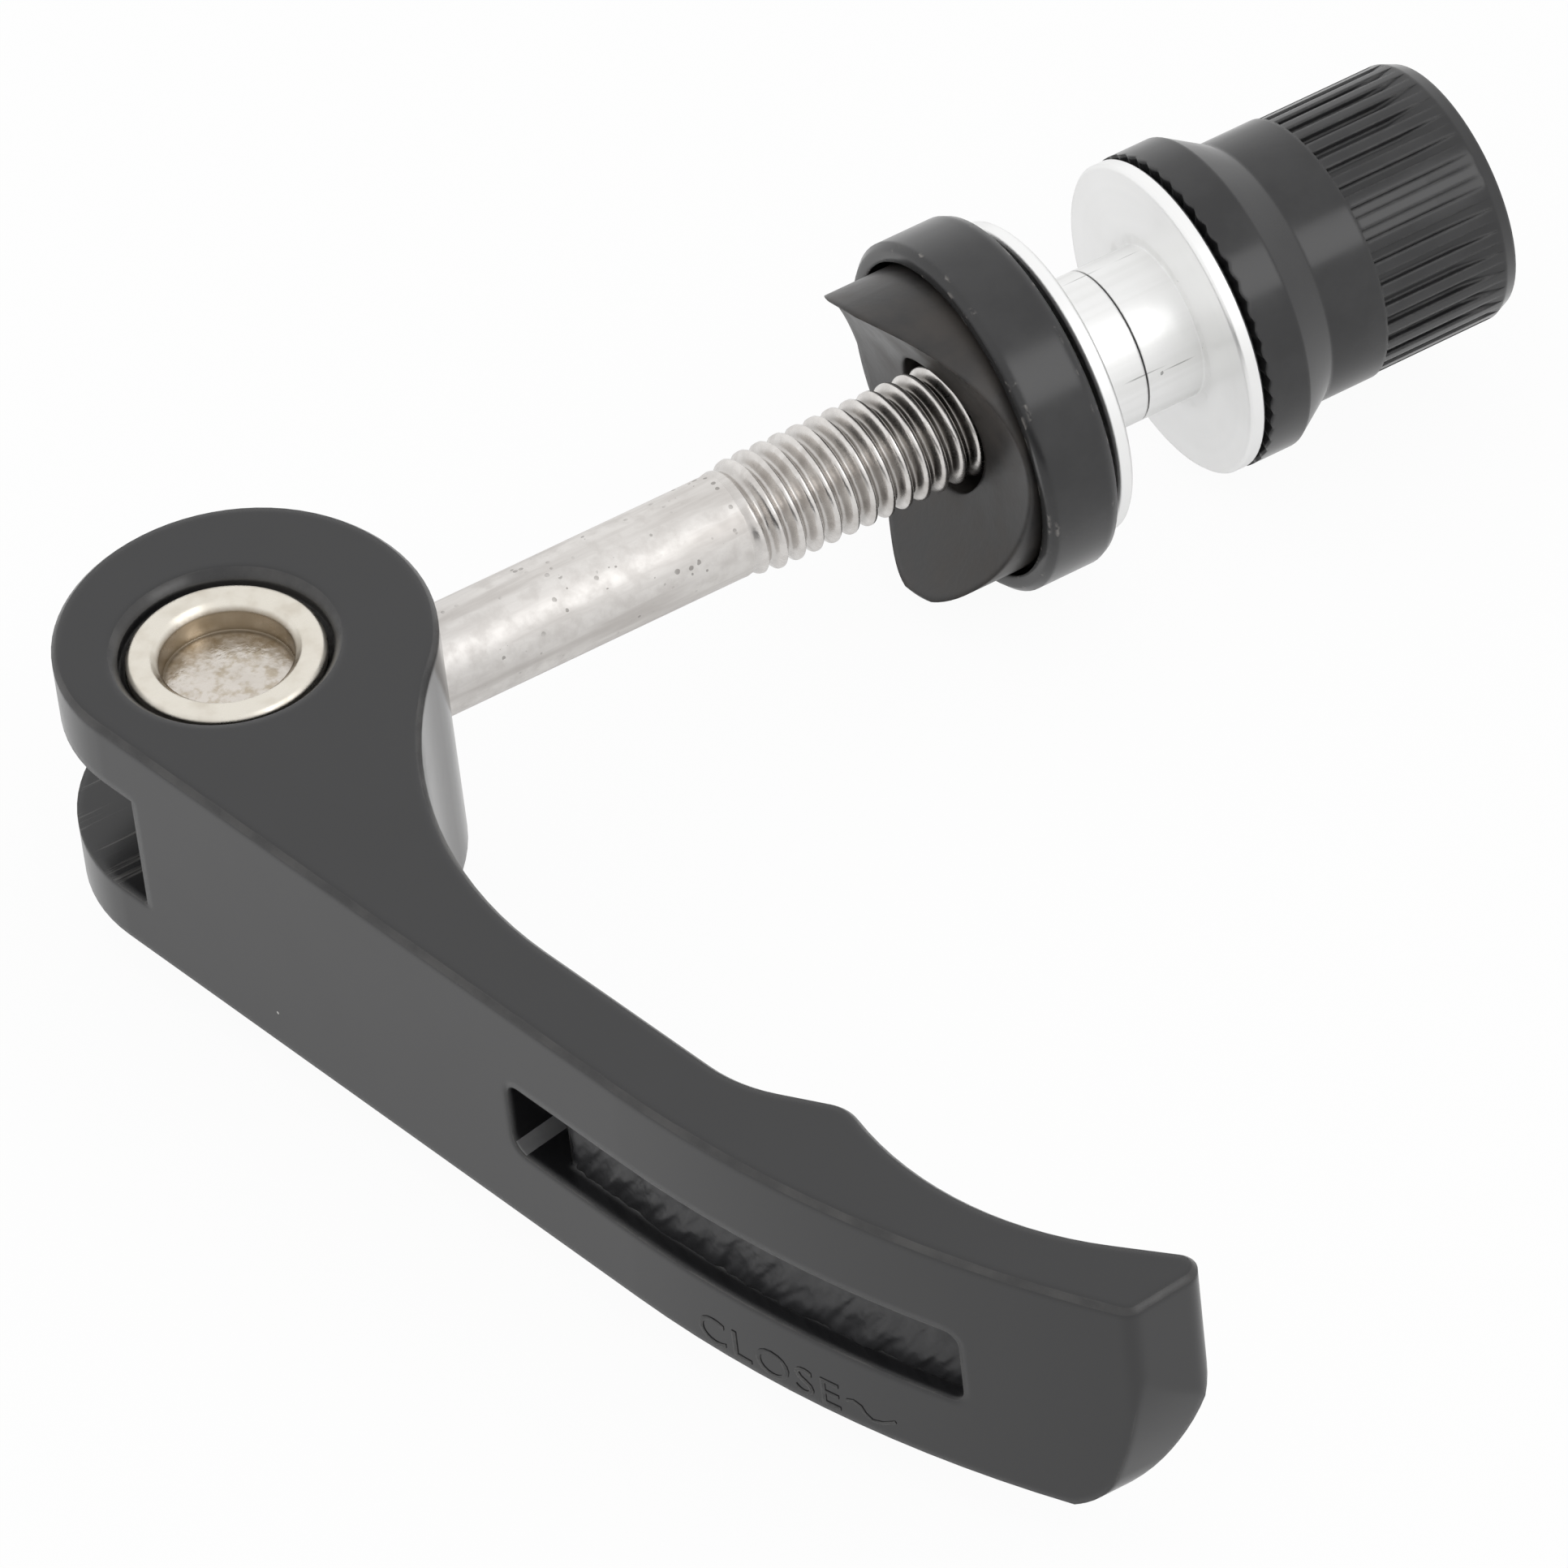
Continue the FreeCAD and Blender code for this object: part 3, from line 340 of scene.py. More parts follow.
def makeBarrelNickel():
    material, tree, inputs = newFinish("barrelNickel", {"Metallic": 1.0})
    grain = placeGroup(tree, grainGroup, Fine_Scale=1900.0, Cloud_Scale=620.0)
    pits = placeGroup(tree, speckGroup, Scale=1100.0, Size=0.26, Share=0.08, Ragged=0.0003)
    place = partsFrom(tree, (pivotX * mm, 0.0, 0.0))
    out = radiusOf(tree, place["X"], place["Y"])
    tilt = faceTilt(tree)
    recess = rangeNode(tree, out, barrelFinish["rimInner"], barrelFinish["recessOuter"])
    wall = mathNode(tree, "MULTIPLY", recess, rangeNode(tree, tilt, 0.85, 0.35))
    level = mathNode(tree, "MULTIPLY", recess, rangeNode(tree, tilt, 0.35, 0.85))
    foot = mathNode(tree, "MULTIPLY", level,
                    rangeNode(tree, out, barrelFinish["footInner"], barrelFinish["footOuter"]))
    stain = rangeNode(tree, grain["Cloud"], 0.45, 0.75)
    stained = mathNode(tree, "MULTIPLY", stain, barrelFinish["stainShare"])
    darkened = mathNode(tree, "MAXIMUM", stained, pits["Speck"])
    rim = mixColour(tree, darkened, barrelFinish["nickel"], barrelFinish["tarnish"])
    torn = mixColour(tree, rangeNode(tree, grain["Grain"], 0.4, 0.7),
                     barrelFinish["floor"], barrelFinish["tarnish"])
    shade = mixColour(tree, wall, mixColour(tree, level, rim, torn), barrelFinish["wall"])
    wire(tree, mixColour(tree, foot, shade, barrelFinish["foot"]), inputs["Base Color"])
    rough = rangeNode(tree, grain["Cloud"], 0.3, 0.7, barrelFinish["roughRim"], barrelFinish["roughFloor"])
    wire(tree, rough, inputs["Roughness"])
    height = mathNode(tree, "MULTIPLY", grain["Grain"], rangeNode(tree, level, 0.0, 1.0, 0.25, 2.5))
    wire(tree, softNormal(tree, 0.0002, height, 0.3, 0.00006), inputs["Normal"])
    return material


# bolt: bright zinc, with dark pits and drawn streaks on the shank and painted shade in the thread roots

boltFinish = {
    "zinc": (0.785, 0.762, 0.738),
    "streak": (0.54, 0.51, 0.485),
    "pit": (0.16, 0.145, 0.13),
    "root": (0.22, 0.205, 0.19),
    "threadFrom": -0.0178,
    "rootShadeLeastAt": -0.016,
    "rootShadeMostAt": -0.004,
    "rootRadius": 0.0025,
    "flankRadius": 0.0028,
    "drawnShare": 0.7,
    "mottleShare": 0.45,
    "pitShare": 0.55,
    "rootShadeLeast": 0.2,
    "rootShadeMost": 0.95,
    "roughLow": 0.49,
    "roughHigh": 0.56,
    "threadPolish": 0.25,
}


def makeBoltZinc():
    material, tree, inputs = newFinish("boltZinc", {"Metallic": 1.0})
    grain = placeGroup(tree, grainGroup, Fine_Scale=2400.0, Cloud_Scale=420.0)
    pits = placeGroup(tree, speckGroup, Scale=900.0, Size=0.24, Share=0.25, Ragged=0.0002)
    dents = placeGroup(tree, speckGroup, Scale=2600.0, Size=0.4, Share=0.3, Ragged=0.0001)
    drawn = rangeNode(tree, noiseIn(tree, 900.0, 4.0, stretch=(0.12, 1.0, 1.0)), 0.4, 0.7)
    mottle = rangeNode(tree, noiseIn(tree, 1100.0, 5.0, 0.6), 0.3, 0.72)
    faded = mathNode(tree, "MAXIMUM", mathNode(tree, "MULTIPLY", drawn, boltFinish["drawnShare"]),
                     mathNode(tree, "MULTIPLY", mottle, boltFinish["mottleShare"]))
    toned = mixColour(tree, faded, boltFinish["zinc"], boltFinish["streak"])
    marks = mathNode(tree, "MAXIMUM", pits["Speck"], dents["Speck"])
    place = partsFrom(tree, (0.0, 0.0, 0.0))
    threaded = mathNode(tree, "GREATER_THAN", place["X"], boltFinish["threadFrom"])
    gathered = mathNode(tree, "MULTIPLY", marks, rangeNode(tree, grain["Cloud"], 0.44, 0.6))
    broken = mathNode(tree, "MULTIPLY", gathered, mathNode(tree, "SUBTRACT", 1.0, threaded))
    pitMask = mathNode(tree, "MULTIPLY", broken, boltFinish["pitShare"])
    pitted = mixColour(tree, pitMask, toned, boltFinish["pit"])
    # thread roots darkened, more towards the saddle: painted shade
    deep = rangeNode(tree, radiusOf(tree, place["Y"], place["Z"]),
                     boltFinish["flankRadius"], boltFinish["rootRadius"])
    nearSaddle = rangeNode(tree, place["X"], boltFinish["rootShadeLeastAt"], boltFinish["rootShadeMostAt"],
                           boltFinish["rootShadeLeast"], boltFinish["rootShadeMost"])
    darkened = mathNode(tree, "MULTIPLY", mathNode(tree, "MULTIPLY", threaded, deep), nearSaddle)
    wire(tree, mixColour(tree, darkened, pitted, boltFinish["root"]), inputs["Base Color"])
    rough = rangeNode(tree, mottle, 0.0, 1.0, boltFinish["roughLow"], boltFinish["roughHigh"])
    polish = mathNode(tree, "MULTIPLY", threaded, boltFinish["threadPolish"])
    wire(tree, mathNode(tree, "SUBTRACT", rough, polish), inputs["Roughness"])
    bump = addNode(tree, "ShaderNodeBump")
    bump.inputs["Strength"].default_value = 0.3
    bump.inputs["Distance"].default_value = 0.00004
    wire(tree, mathNode(tree, "SUBTRACT", grain["Grain"], broken), bump.inputs["Height"])
    wire(tree, bump.outputs["Normal"], inputs["Normal"])
    return material


# bushes: turned bright aluminium, with faint bands of painted reflection along the sleeves

bushFinish = {
    "bright": (0.94, 0.94, 0.935),
    "dull": (0.86, 0.86, 0.85),
    "scratch": (0.42, 0.42, 0.41),
    "sweepShare": 0.4,
    "bandStretch": (0.04, 1.0, 1.0),
    "scoreStretch": (0.05, 1.0, 1.0),
    "roughLow": 0.28,
    "roughHigh": 0.34,
    "sleeveIn": 0.0044,
    "sleeveOut": 0.0047,
    "sleeveDuller": 0.12,
}


def makeBushBright():
    material, tree, inputs = newFinish("bushBright", {"Metallic": 1.0})
    marks = placeGroup(tree, turningGroup, Ring_Scale=7000.0)
    specks = placeGroup(tree, speckGroup, Scale=900.0, Size=0.14, Share=0.03, Ragged=0.0003)
    place = partsFrom(tree, (0.0, 0.0, 0.0))
    sleeve = rangeNode(tree, radiusOf(tree, place["Y"], place["Z"]),
                       bushFinish["sleeveOut"], bushFinish["sleeveIn"])
    # lengthwise bands on the sleeves: painted reflections of lamps, with faint lengthwise marks
    bands = rangeNode(tree, noiseIn(tree, 800.0, 3.0, stretch=bushFinish["bandStretch"]), 0.35, 0.7)
    shade = mathNode(tree, "MULTIPLY", rangeNode(tree, marks["Sweep"], 0.35, 0.7), bushFinish["sweepShare"])
    banded = mathNode(tree, "MAXIMUM", shade, mathNode(tree, "MULTIPLY", sleeve, bands))
    turned = mixColour(tree, banded, bushFinish["bright"], bushFinish["dull"])
    scored = rangeNode(tree, noiseIn(tree, 2400.0, 2.0, stretch=bushFinish["scoreStretch"]), 0.70, 0.76)
    spoiled = mathNode(tree, "MAXIMUM", specks["Speck"], mathNode(tree, "MULTIPLY", sleeve, scored))
    wire(tree, mixColour(tree, spoiled, turned, bushFinish["scratch"]), inputs["Base Color"])
    rough = rangeNode(tree, marks["Marks"], 0.3, 0.7, bushFinish["roughLow"], bushFinish["roughHigh"])
    duller = mathNode(tree, "MULTIPLY", sleeve, bushFinish["sleeveDuller"])
    wire(tree, mathNode(tree, "ADD", rough, duller), inputs["Roughness"])
    wire(tree, softNormal(tree, 0.00015, marks["Marks"], 0.015, 0.00002), inputs["Normal"])
    return material


# cup, saddle, nut and window: black in five sheens; the deep round's sheen is a grey painted light

blackDust = (0.3, 0.29, 0.28)
blackFinishes = {
    "cupBlack": {
        "coat": (0.022, 0.022, 0.023), "pale": (0.031, 0.031, 0.032), "wearAndHighlight": (0.34, 0.32, 0.30),
        "edgeShare": 0.8, "edgeLow": 0.01, "edgeHigh": 0.06, "patchLow": 0.56, "patchHigh": 0.66,
        "roughLow": 0.17, "roughHigh": 0.24, "fine": 7000.0, "bump": 0.04, "edgeRadius": 0.0004},
    "saddleBlack": {
        "coat": (0.019, 0.018, 0.018), "pale": (0.042, 0.036, 0.032), "wearAndHighlight": (0.09, 0.075, 0.065),
        "edgeShare": 0.5, "edgeLow": 0.05, "edgeHigh": 0.3, "patchLow": 0.35, "patchHigh": 0.65,
        "roughLow": 0.30, "roughHigh": 0.44, "fine": 2600.0, "bump": 0.4, "edgeRadius": 0.0004},
    "nutBlack": {
        "coat": (0.020, 0.020, 0.021), "pale": (0.029, 0.029, 0.030), "wearAndHighlight": (0.10, 0.098, 0.095),
        "edgeShare": 0.5, "edgeLow": 0.05, "edgeHigh": 0.3, "patchLow": 0.4, "patchHigh": 0.7,
        "roughLow": 0.15, "roughHigh": 0.23, "fine": 8000.0, "bump": 0.04, "edgeRadius": 0.00025},
    "windowBlack": {
        "coat": (0.014, 0.014, 0.0155), "pale": (0.024, 0.024, 0.026), "wearAndHighlight": (0.06, 0.06, 0.06),
        "edgeShare": 0.3, "edgeLow": 0.05, "edgeHigh": 0.3, "patchLow": 0.35, "patchHigh": 0.65,
        "roughLow": 0.34, "roughHigh": 0.46, "fine": 3000.0, "bump": 0.2, "edgeRadius": 0.00015},
    # painted light: a grey far paler than the black coat, for the shaded round in the deep end, with a paler
    # painted highlight on its edges
    "deepPaintedLight": {
        "coat": (0.16, 0.16, 0.162), "pale": (0.22, 0.22, 0.222), "wearAndHighlight": (0.26, 0.26, 0.26),
        "edgeShare": 0.3, "edgeLow": 0.05, "edgeHigh": 0.3, "patchLow": 0.35, "patchHigh": 0.65,
        "roughLow": 0.22, "roughHigh": 0.3, "fine": 3000.0, "bump": 0.2, "edgeRadius": 0.00015},
}


def makeBlack(name):
    values = blackFinishes[name]
    material, tree, inputs = newFinish(name, {"Specular IOR Level": 0.5, "IOR": 1.5})
    grain = placeGroup(tree, grainGroup, Fine_Scale=values["fine"], Cloud_Scale=330.0)
    edgeMask = placeGroup(tree, edgeRubGroup, Radius=0.0003, Breakup=1300.0,
                     Low=values["edgeLow"], High=values["edgeHigh"],
                     Patch_Low=values["patchLow"], Patch_High=values["patchHigh"])
    dust = placeGroup(tree, speckGroup, Scale=500.0, Size=0.05, Share=0.05)
    cloud = rangeNode(tree, grain["Cloud"], 0.35, 0.7)
    coat = mixColour(tree, cloud, values["coat"], values["pale"])
    # edge colour: rubbed wear, and on the deep round a painted highlight
    toned = mixColour(tree, mathNode(tree, "MULTIPLY", edgeMask["Rub"], values["edgeShare"]), coat, values["wearAndHighlight"])
    wire(tree, mixColour(tree, dust["Speck"], toned, blackDust), inputs["Base Color"])
    rough = rangeNode(tree, grain["Cloud"], 0.3, 0.7, values["roughLow"], values["roughHigh"])
    wire(tree, rough, inputs["Roughness"])
    normal = softNormal(tree, values["edgeRadius"], grain["Grain"], values["bump"], 0.00002)
    wire(tree, normal, inputs["Normal"])
    return material


finishes = {
    "lever_black": makeLeverBlack(),
    "barrel_nickel": makeBarrelNickel(),
    "bolt_zinc": makeBoltZinc(),
    "bush_bright": makeBushBright(),
    "cup_black": makeBlack("cupBlack"),
    "saddle_black": makeBlack("saddleBlack"),
    "nut_black": makeBlack("nutBlack"),
}
windowBlack = makeBlack("windowBlack")
deepPaintedLight = makeBlack("deepPaintedLight")
print("finishes built:", len(finishes) + 2)


# mesh helpers, in millimetres

def newPiece(name, points, faces, body, slotName, smoothAngle=40.0, finish=None):
    mesh = bpy.data.meshes.new(name)
    mesh.from_pydata([(x * mm, y * mm, z * mm) for x, y, z in points], [], faces)
    mesh.validate()
    work = bmesh.new()
    work.from_mesh(mesh)
    bmesh.ops.recalc_face_normals(work, faces=work.faces)
    for face in work.faces:
        face.smooth = True
    for edge in work.edges:
        if len(edge.link_faces) == 2 and edge.calc_face_angle() > math.radians(smoothAngle):
            edge.smooth = False
    work.to_mesh(mesh)
    work.free()
    piece = bpy.data.objects.new(name, mesh)
    bpy.context.collection.objects.link(piece)
    piece.data.materials.append(finish or finishes[slotName])
    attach(piece, body)
    return piece


def smoothCad(node, angle=32.0):
    # faces blend across small angles only; the points stay where they are
    for face in node.data.polygons:
        face.use_smooth = True
    node.data.set_sharp_from_angle(angle=math.radians(angle))


# CAD pieces that keep their shape

cadFinish = {
    "lever": "lever_black",
    "pivot_barrel": "barrel_nickel",
    "cam_saddle": "saddle_black",
    "saddle_cup": "cup_black",
    "inner_bush": "bush_bright",
    "outer_bush": "bush_bright",
    "adjuster_nut": "nut_black",
}
for name, slotName in cadFinish.items():
    node = nodes[name]
    smoothCad(node)
    node.data.materials.clear()
    node.data.materials.append(finishes[slotName])
print("solids dressed:", len(cadFinish))


# clamp bolt: plain shank and a rolled thread that fades in from it

boltPiece = {
    "start": -47.95,
    "shankRadius": 2.61,
    "threadStart": -18.3,
    "fadeIn": 2.2,
    "crestRadius": 2.95,
    "rootRadius": 2.40,
    "pitch": 1.0,
    "rootFlat": 0.14,
    "flankShare": 0.68,
    "rounding": 0.45,
    "end": 15.75,
    "endChamfer": 0.7,
    "shankRows": (-47.65, -38.0, -30.0, -24.0, -18.8),
    "around": 72,
    "rowsPerPitch": 14,
    "smoothAngle": 60.0,
}


def eased(share):
    return share * share * (3.0 - 2.0 * share)


def threadHeight(phase):
    # 0 in the root, 1 on the crest, both slightly rounded
    rise = 1.0 - abs(2.0 * (phase % 1.0) - 1.0)
    rise = min(max((rise - boltPiece["rootFlat"]) / boltPiece["flankShare"], 0.0), 1.0)
    return rise + (eased(rise) - rise) * boltPiece["rounding"]


def boltRadius(x, turn):
    piece = boltPiece
    if x <= piece["threadStart"]:
        return piece["shankRadius"]
    height = threadHeight((x - piece["threadStart"]) / piece["pitch"] - turn / (2.0 * math.pi))
    full = piece["rootRadius"] + (piece["crestRadius"] - piece["rootRadius"]) * height
    share = eased(min((x - piece["threadStart"]) / piece["fadeIn"], 1.0))
    radius = piece["shankRadius"] + (full - piece["shankRadius"]) * share
    return min(radius, piece["crestRadius"] - piece["endChamfer"] + max(piece["end"] - x, 0.0))


def makeBolt():
    piece = boltPiece
    rows = [piece["start"], *piece["shankRows"]]
    threadLength = piece["end"] - piece["threadStart"]
    steps = int(threadLength * piece["rowsPerPitch"] / piece["pitch"])
    rows += [piece["threadStart"] + threadLength * step / steps for step in range(steps + 1)]
    around = piece["around"]
    points = []
    for x in rows:
        for step in range(around):
            turn = 2.0 * math.pi * step / around
            radius = boltRadius(x, turn)
            points.append((x, radius * math.cos(turn), radius * math.sin(turn)))
    faces = []
    for row in range(len(rows) - 1):
        for step in range(around):
            following = (step + 1) % around
            faces.append((row * around + step, row * around + following,
                          (row + 1) * around + following, (row + 1) * around + step))
    faces.append(tuple(range(around)))
    faces.append(tuple(range((len(rows) - 1) * around, len(rows) * around)))
    bolt = newPiece("threadedBolt", points, faces, "bolt", "bolt_zinc", piece["smoothAngle"])
    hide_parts("clamp_bolt")


makeBolt()
print("bolt threaded")


# back of the lever: straight run, then a long bend; places on it are given by distance and height

leverBack = {
    "lean": 11.1,
    "bendStart": (-0.737, -36.314),
    "bendRadius": 68.5,
}
lean = math.radians(leverBack["lean"])
alongBack = Vector((math.sin(lean), -math.cos(lean), 0.0))
outOfBack = Vector((-math.cos(lean), -math.sin(lean), 0.0))
bendStart = Vector((leverBack["bendStart"][0] + pivotX, leverBack["bendStart"][1], 0.0))
bendCentre = bendStart - outOfBack * leverBack["bendRadius"]


def onBack(run, up, lift):
    # run counts from the start of the bend towards the tip; lift stands out of the back
    if run < 0.0:
        place = bendStart + alongBack * run + outOfBack * lift
    else:
        turn = run / leverBack["bendRadius"]
        out = outOfBack * math.cos(turn) + alongBack * math.sin(turn)
        place = bendCentre + out * (leverBack["bendRadius"] + lift)
    return (place.x, place.y, up)


# rough floor of the window, higher towards the tip and torn across by the cutter

windowFloor = {
    "runStart": -5.12,
    "runEnd": 19.62,
    "halfWidth": 2.16,
    "depthStart": 0.98,
    "depthEnd": 0.80,
    "droop": 0.09,
    "shoulder": 0.9,
    "shoulderDrop": 0.18,
    "sunk": 1.25,
    "cover": 0.02,
    "swell": 0.05,
    "gouge": 0.16,
    "score": 0.08,
    "grit": 0.012,
    "swellWave": (0.9, 0.4, 3.1),
    "gougeWave": (1.5, 0.38, 9.7),
    "scoreWave": (3.1, 0.8, 5.2),
    "gritWave": (4.0, 4.0, 1.7),
    "tearLean": 55.0,
    "columns": 300,
    "rows": 52,
    "smoothAngle": 50.0,
}


def waveAt(first, second, wave):
    # a wave holds its two scales and its own layer of the noise
    return noise.noise(Vector((first * wave[0], second * wave[1], wave[2])))


def floorDepth(run, up):
    piece = windowFloor
    share = (run - piece["runStart"]) / (piece["runEnd"] - piece["runStart"])
    depth = piece["depthStart"] + (piece["depthEnd"] - piece["depthStart"]) * share
    near = max(1.0 - (run - piece["runStart"]) / piece["shoulder"], 0.0)
    depth += piece["shoulderDrop"] * near * near - piece["droop"] * up / piece["halfWidth"]
    turn = math.radians(piece["tearLean"])
    along = run * math.cos(turn) + up * math.sin(turn)
    across = run * math.sin(turn) - up * math.cos(turn)
    for part in ("swell", "gouge", "score"):
        depth += piece[part] * waveAt(across, along, piece[part + "Wave"])
    depth += piece["grit"] * waveAt(run, up, piece["gritWave"])
    return min(depth, piece["sunk"] - piece["cover"])


def makeWindowFloor():
    piece = windowFloor
    columns, rows = piece["columns"], piece["rows"]
    top = []
    bottom = []
    for column in range(columns + 1):
        run = piece["runStart"] + (piece["runEnd"] - piece["runStart"]) * column / columns
        for row in range(rows + 1):
            up = piece["halfWidth"] * (2.0 * row / rows - 1.0)
            top.append(onBack(run, up, -floorDepth(run, up)))
            bottom.append(onBack(run, up, -piece["sunk"]))
    wide = rows + 1
    below = len(top)
    faces = []
    for column in range(columns):
        for row in range(rows):
            corner = column * wide + row
            under = below + corner
            faces.append((corner, corner + wide, corner + wide + 1, corner + 1))
            faces.append((under, under + 1, under + wide + 1, under + wide))
    rim = list(range(wide))
    rim += [column * wide + rows for column in range(1, columns + 1)]
    rim += [columns * wide + row for row in range(rows - 1, -1, -1)]
    rim += [column * wide for column in range(columns - 1, 0, -1)]
    for here, there in zip(rim, rim[1:] + rim[:1]):
        faces.append((here, there, below + there, below + here))
    newPiece("windowFloor", top + bottom, faces, "lever", "lever_black", piece["smoothAngle"], windowBlack)


# round that the cutter left in the lower corner of the window's deep end, coloured with painted light

deepRound = {
    "wallRun": -7.9,
    "radius": 0.92,
    "depthStart": 0.1,
    "depthEnd": 2.85,
    "halfWidth": 2.16,
    "behind": 0.25,
    "steps": 18,
}


def makeDeepRound():
    piece = deepRound
    radius, low, behind = piece["radius"], -piece["halfWidth"], piece["behind"]
    outline = []
    for step in range(piece["steps"] + 1):
        turn = 0.5 * math.pi * step / piece["steps"]
        outline.append((piece["wallRun"] + radius * (1.0 - math.cos(turn)),
                        low + radius * (1.0 - math.sin(turn))))
    outline.append((piece["wallRun"] + radius, low - behind))
    outline.append((piece["wallRun"] - behind, low - behind))
    outline.append((piece["wallRun"] - behind, low + radius))
    count = len(outline)
    points = []
    for depth in (piece["depthStart"], piece["depthEnd"]):
        points += [onBack(run, up, -depth) for run, up in outline]
    faces = [tuple(range(count)), tuple(range(2 * count - 1, count - 1, -1))]
    for here in range(count):
        there = (here + 1) % count
        faces.append((here, there, count + there, count + here))
    newPiece("deepRound", points, faces, "lever", "lever_black", finish=deepPaintedLight)


makeWindowFloor()
makeDeepRound()
print("window cut")


# word and hooked arrow, raised along the lower side of the back

closeMark = {
    "word": "CLOSE",
    "runStart": 4.1,
    "runEnd": 12.5,
    "foot": -6.05,
    "height": 1.6,
    "lift": 0.035,
    "sunk": 0.06,
    "spacing": 1.12,
    "curveSteps": 4,
    "weld": 1e-5,
    "smoothAngle": 30.0,
    "arrow": [(12.9, -5.15), (13.3, -5.0), (13.7, -5.15), (13.9, -5.5), (14.3, -5.75),
              (14.9, -5.6), (15.6, -5.2)],
    "arrowWidth": 0.16,
}


def makeCloseWord():
    piece = closeMark
    curve = bpy.data.curves.new("closeLetters", "FONT")
    curve.body = piece["word"]
    curve.resolution_u = piece["curveSteps"]
    curve.space_character = piece["spacing"]
    flat = bpy.data.objects.new("closeLetters", curve)
    bpy.context.collection.objects.link(flat)
    bpy.context.view_layer.update()
    shape = flat.evaluated_get(bpy.context.evaluated_depsgraph_get()).to_mesh()
    work = bmesh.new()
    work.from_mesh(shape)
    bpy.data.objects.remove(flat)
    bpy.data.curves.remove(curve)
    bmesh.ops.remove_doubles(work, verts=work.verts, dist=piece["weld"])
    left = min(vert.co.x for vert in work.verts)
    right = max(vert.co.x for vert in work.verts)
    tall = max(vert.co.y for vert in work.verts)
    bmesh.ops.triangulate(work, faces=work.faces)
    bmesh.ops.subdivide_edges(work, edges=work.edges, cuts=1)
    bmesh.ops.triangulate(work, faces=work.faces)
    work.verts.index_update()
    points = []
    for lift in (piece["lift"], -piece["sunk"]):
        for vert in work.verts:
            share = (vert.co.x - left) / (right - left)
            run = piece["runStart"] + (piece["runEnd"] - piece["runStart"]) * share
            points.append(onBack(run, piece["foot"] + piece["height"] * vert.co.y / tall, lift))
    count = len(work.verts)
    faces = []
    for face in work.faces:
        corners = [vert.index for vert in face.verts]
        faces.append(tuple(corners))
        faces.append(tuple(corner + count for corner in reversed(corners)))
    for edge in work.edges:
        if edge.is_boundary:
            here, there = (vert.index for vert in edge.verts)
            faces.append((here, there, there + count, here + count))
    work.free()
    newPiece("closeWord", points, faces, "lever", "lever_black", piece["smoothAngle"])


def makeCloseArrow():
    piece = closeMark
    path = [Vector((run, up, 0.0)) for run, up in piece["arrow"]]
    points = []
    for place, spot in enumerate(path):
        before = path[max(place - 1, 0)]
        after = path[min(place + 1, len(path) - 1)]
        way = (after - before).normalized()
        aside = Vector((-way.y, way.x, 0.0)) * piece["arrowWidth"] / 2.0
        for edge, lift in ((aside, piece["lift"]), (-aside, piece["lift"]), (-aside, -piece["sunk"]),
                           (aside, -piece["sunk"])):
            points.append(onBack(spot.x + edge.x, spot.y + edge.y, lift))
    faces = []
    for place in range(len(path) - 1):
        for side in range(4):
            here, there = place * 4 + side, place * 4 + (side + 1) % 4
            faces.append((here, there, there + 4, here + 4))
    faces.append((0, 1, 2, 3))
    faces.append(tuple(len(points) - 4 + side for side in range(4)))
    newPiece("closeArrow", points, faces, "lever", "lever_black", piece["smoothAngle"])


makeCloseWord()
makeCloseArrow()
print("word and arrow set")


# floor, light and camera

studio = {
    "floorDrop": -9.12,
    "floorHalf": 4.0,
    "floorRough": 0.9,
    "floorColour": (0.86, 0.86, 0.86),
    "floorShow": 0.95,
    "floorMirror": 0.6,
    "worldLevel": 0.85,
    "keyPower": 0.6,
    "keyPlace": (0.21, -0.47, 0.47),
    "keySize": 0.35,
    "aim": (-23.44, -13.94, -3.27),
    "distance": 669.7,
    "azimuth": -116.752,
    "elevation": 42.401,
    "roll": -6.888,
    "lens": 328.35,
    "sensor": 36.0,
    "clipStart": 0.01,
    "clipEnd": 50.0,
}


def seenDirectly(tree):
    # 1 for camera, mirror and glass rays, 0 for the light that falls on the object
    path = addNode(tree, "ShaderNodeLightPath").outputs
    seen = mathNode(tree, "ADD", path["Is Camera Ray"], path["Is Glossy Ray"], clamp=True)
    return mathNode(tree, "ADD", seen, path["Is Transmission Ray"], clamp=True)


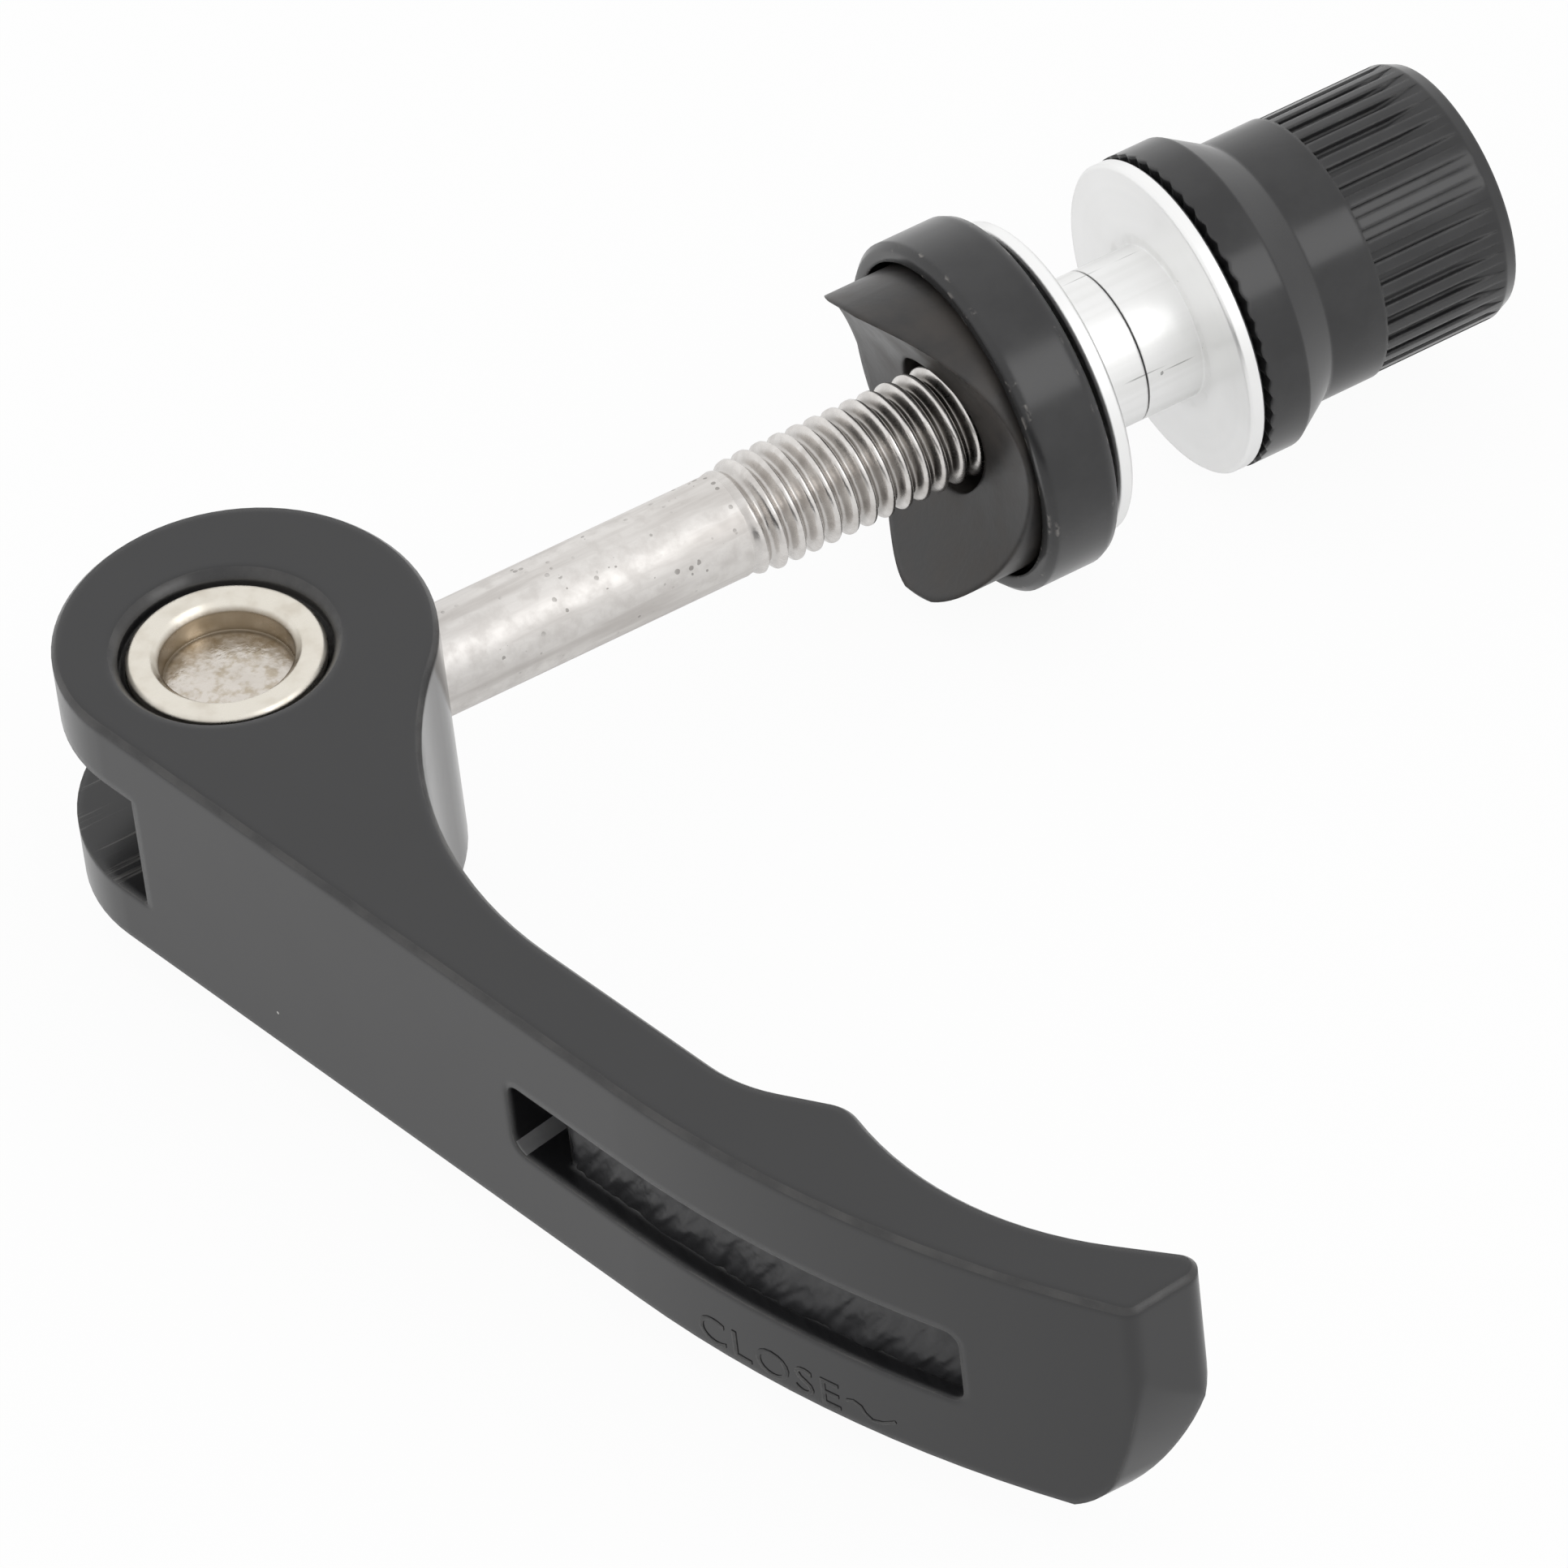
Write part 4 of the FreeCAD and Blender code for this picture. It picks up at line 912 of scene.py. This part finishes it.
def makeFloor():
    wide = studio["floorHalf"]
    drop = studio["floorDrop"] * mm
    mesh = bpy.data.meshes.new("studioFloor")
    corners = [(-wide, -wide, drop), (wide, -wide, drop), (wide, wide, drop), (-wide, wide, drop)]
    mesh.from_pydata(corners, [], [(0, 1, 2, 3)])
    floor = bpy.data.objects.new("studioFloor", mesh)
    bpy.context.collection.objects.link(floor)
    colour = (*studio["floorColour"], 1.0)
    material, tree = newFinish("paleFloor", {"Base Color": colour, "Roughness": studio["floorRough"],
                                             "Specular IOR Level": 0.0})[:2]
    shader = tree.nodes["Principled BSDF"]
    glow = addNode(tree, "ShaderNodeEmission")
    blend = addNode(tree, "ShaderNodeMixShader")
    cameraRay = addNode(tree, "ShaderNodeLightPath").outputs["Is Camera Ray"]
    share = rangeNode(tree, cameraRay, 0.0, 1.0, studio["floorMirror"], studio["floorShow"])
    wire(tree, mathNode(tree, "MULTIPLY", seenDirectly(tree), share), blend.inputs[0])
    wire(tree, shader.outputs[0], blend.inputs[1])
    wire(tree, glow.outputs[0], blend.inputs[2])
    wire(tree, blend.outputs[0], tree.nodes["Material Output"].inputs["Surface"])
    mesh.materials.append(material)


def makeWorld():
    world = bpy.data.worlds.new("paleRoom")
    bpy.context.scene.world = world
    world.use_nodes = True
    tree = world.node_tree
    room = tree.nodes["Background"]
    room.inputs["Color"].default_value = (1.0, 1.0, 1.0, 1.0)
    seen = seenDirectly(tree)
    wire(tree, rangeNode(tree, seen, 0.0, 1.0, studio["worldLevel"], 1.0), room.inputs["Strength"])


def makeLamp(name, place, power, width):
    lamp = bpy.data.lights.new(name, "AREA")
    lamp.energy = power
    lamp.size = width
    holder = bpy.data.objects.new(name, lamp)
    bpy.context.collection.objects.link(holder)
    holder.location = place
    aim = Vector(studio["aim"]) * mm
    holder.rotation_euler = (aim - Vector(place)).to_track_quat("-Z", "Y").to_euler()


def makeCamera():
    lens = bpy.data.cameras.new("photoCamera")
    lens.lens = studio["lens"]
    lens.sensor_width = studio["sensor"]
    lens.clip_start = studio["clipStart"]
    lens.clip_end = studio["clipEnd"]
    camera = bpy.data.objects.new("photoCamera", lens)
    bpy.context.collection.objects.link(camera)
    turn, rise = math.radians(studio["azimuth"]), math.radians(studio["elevation"])
    away = Vector((math.cos(rise) * math.cos(turn), math.cos(rise) * math.sin(turn), math.sin(rise)))
    camera.location = (Vector(studio["aim"]) + away * studio["distance"]) * mm
    upright = (-away).to_track_quat("-Z", "Y").to_matrix()
    camera.rotation_euler = (upright @ Matrix.Rotation(math.radians(studio["roll"]), 3, "Z")).to_euler()
    bpy.context.scene.camera = camera


makeFloor()
makeWorld()
makeLamp("keyLamp", studio["keyPlace"], studio["keyPower"], studio["keySize"])
makeCamera()
bpy.context.scene.view_settings.view_transform = "Standard"
print("studio ready")
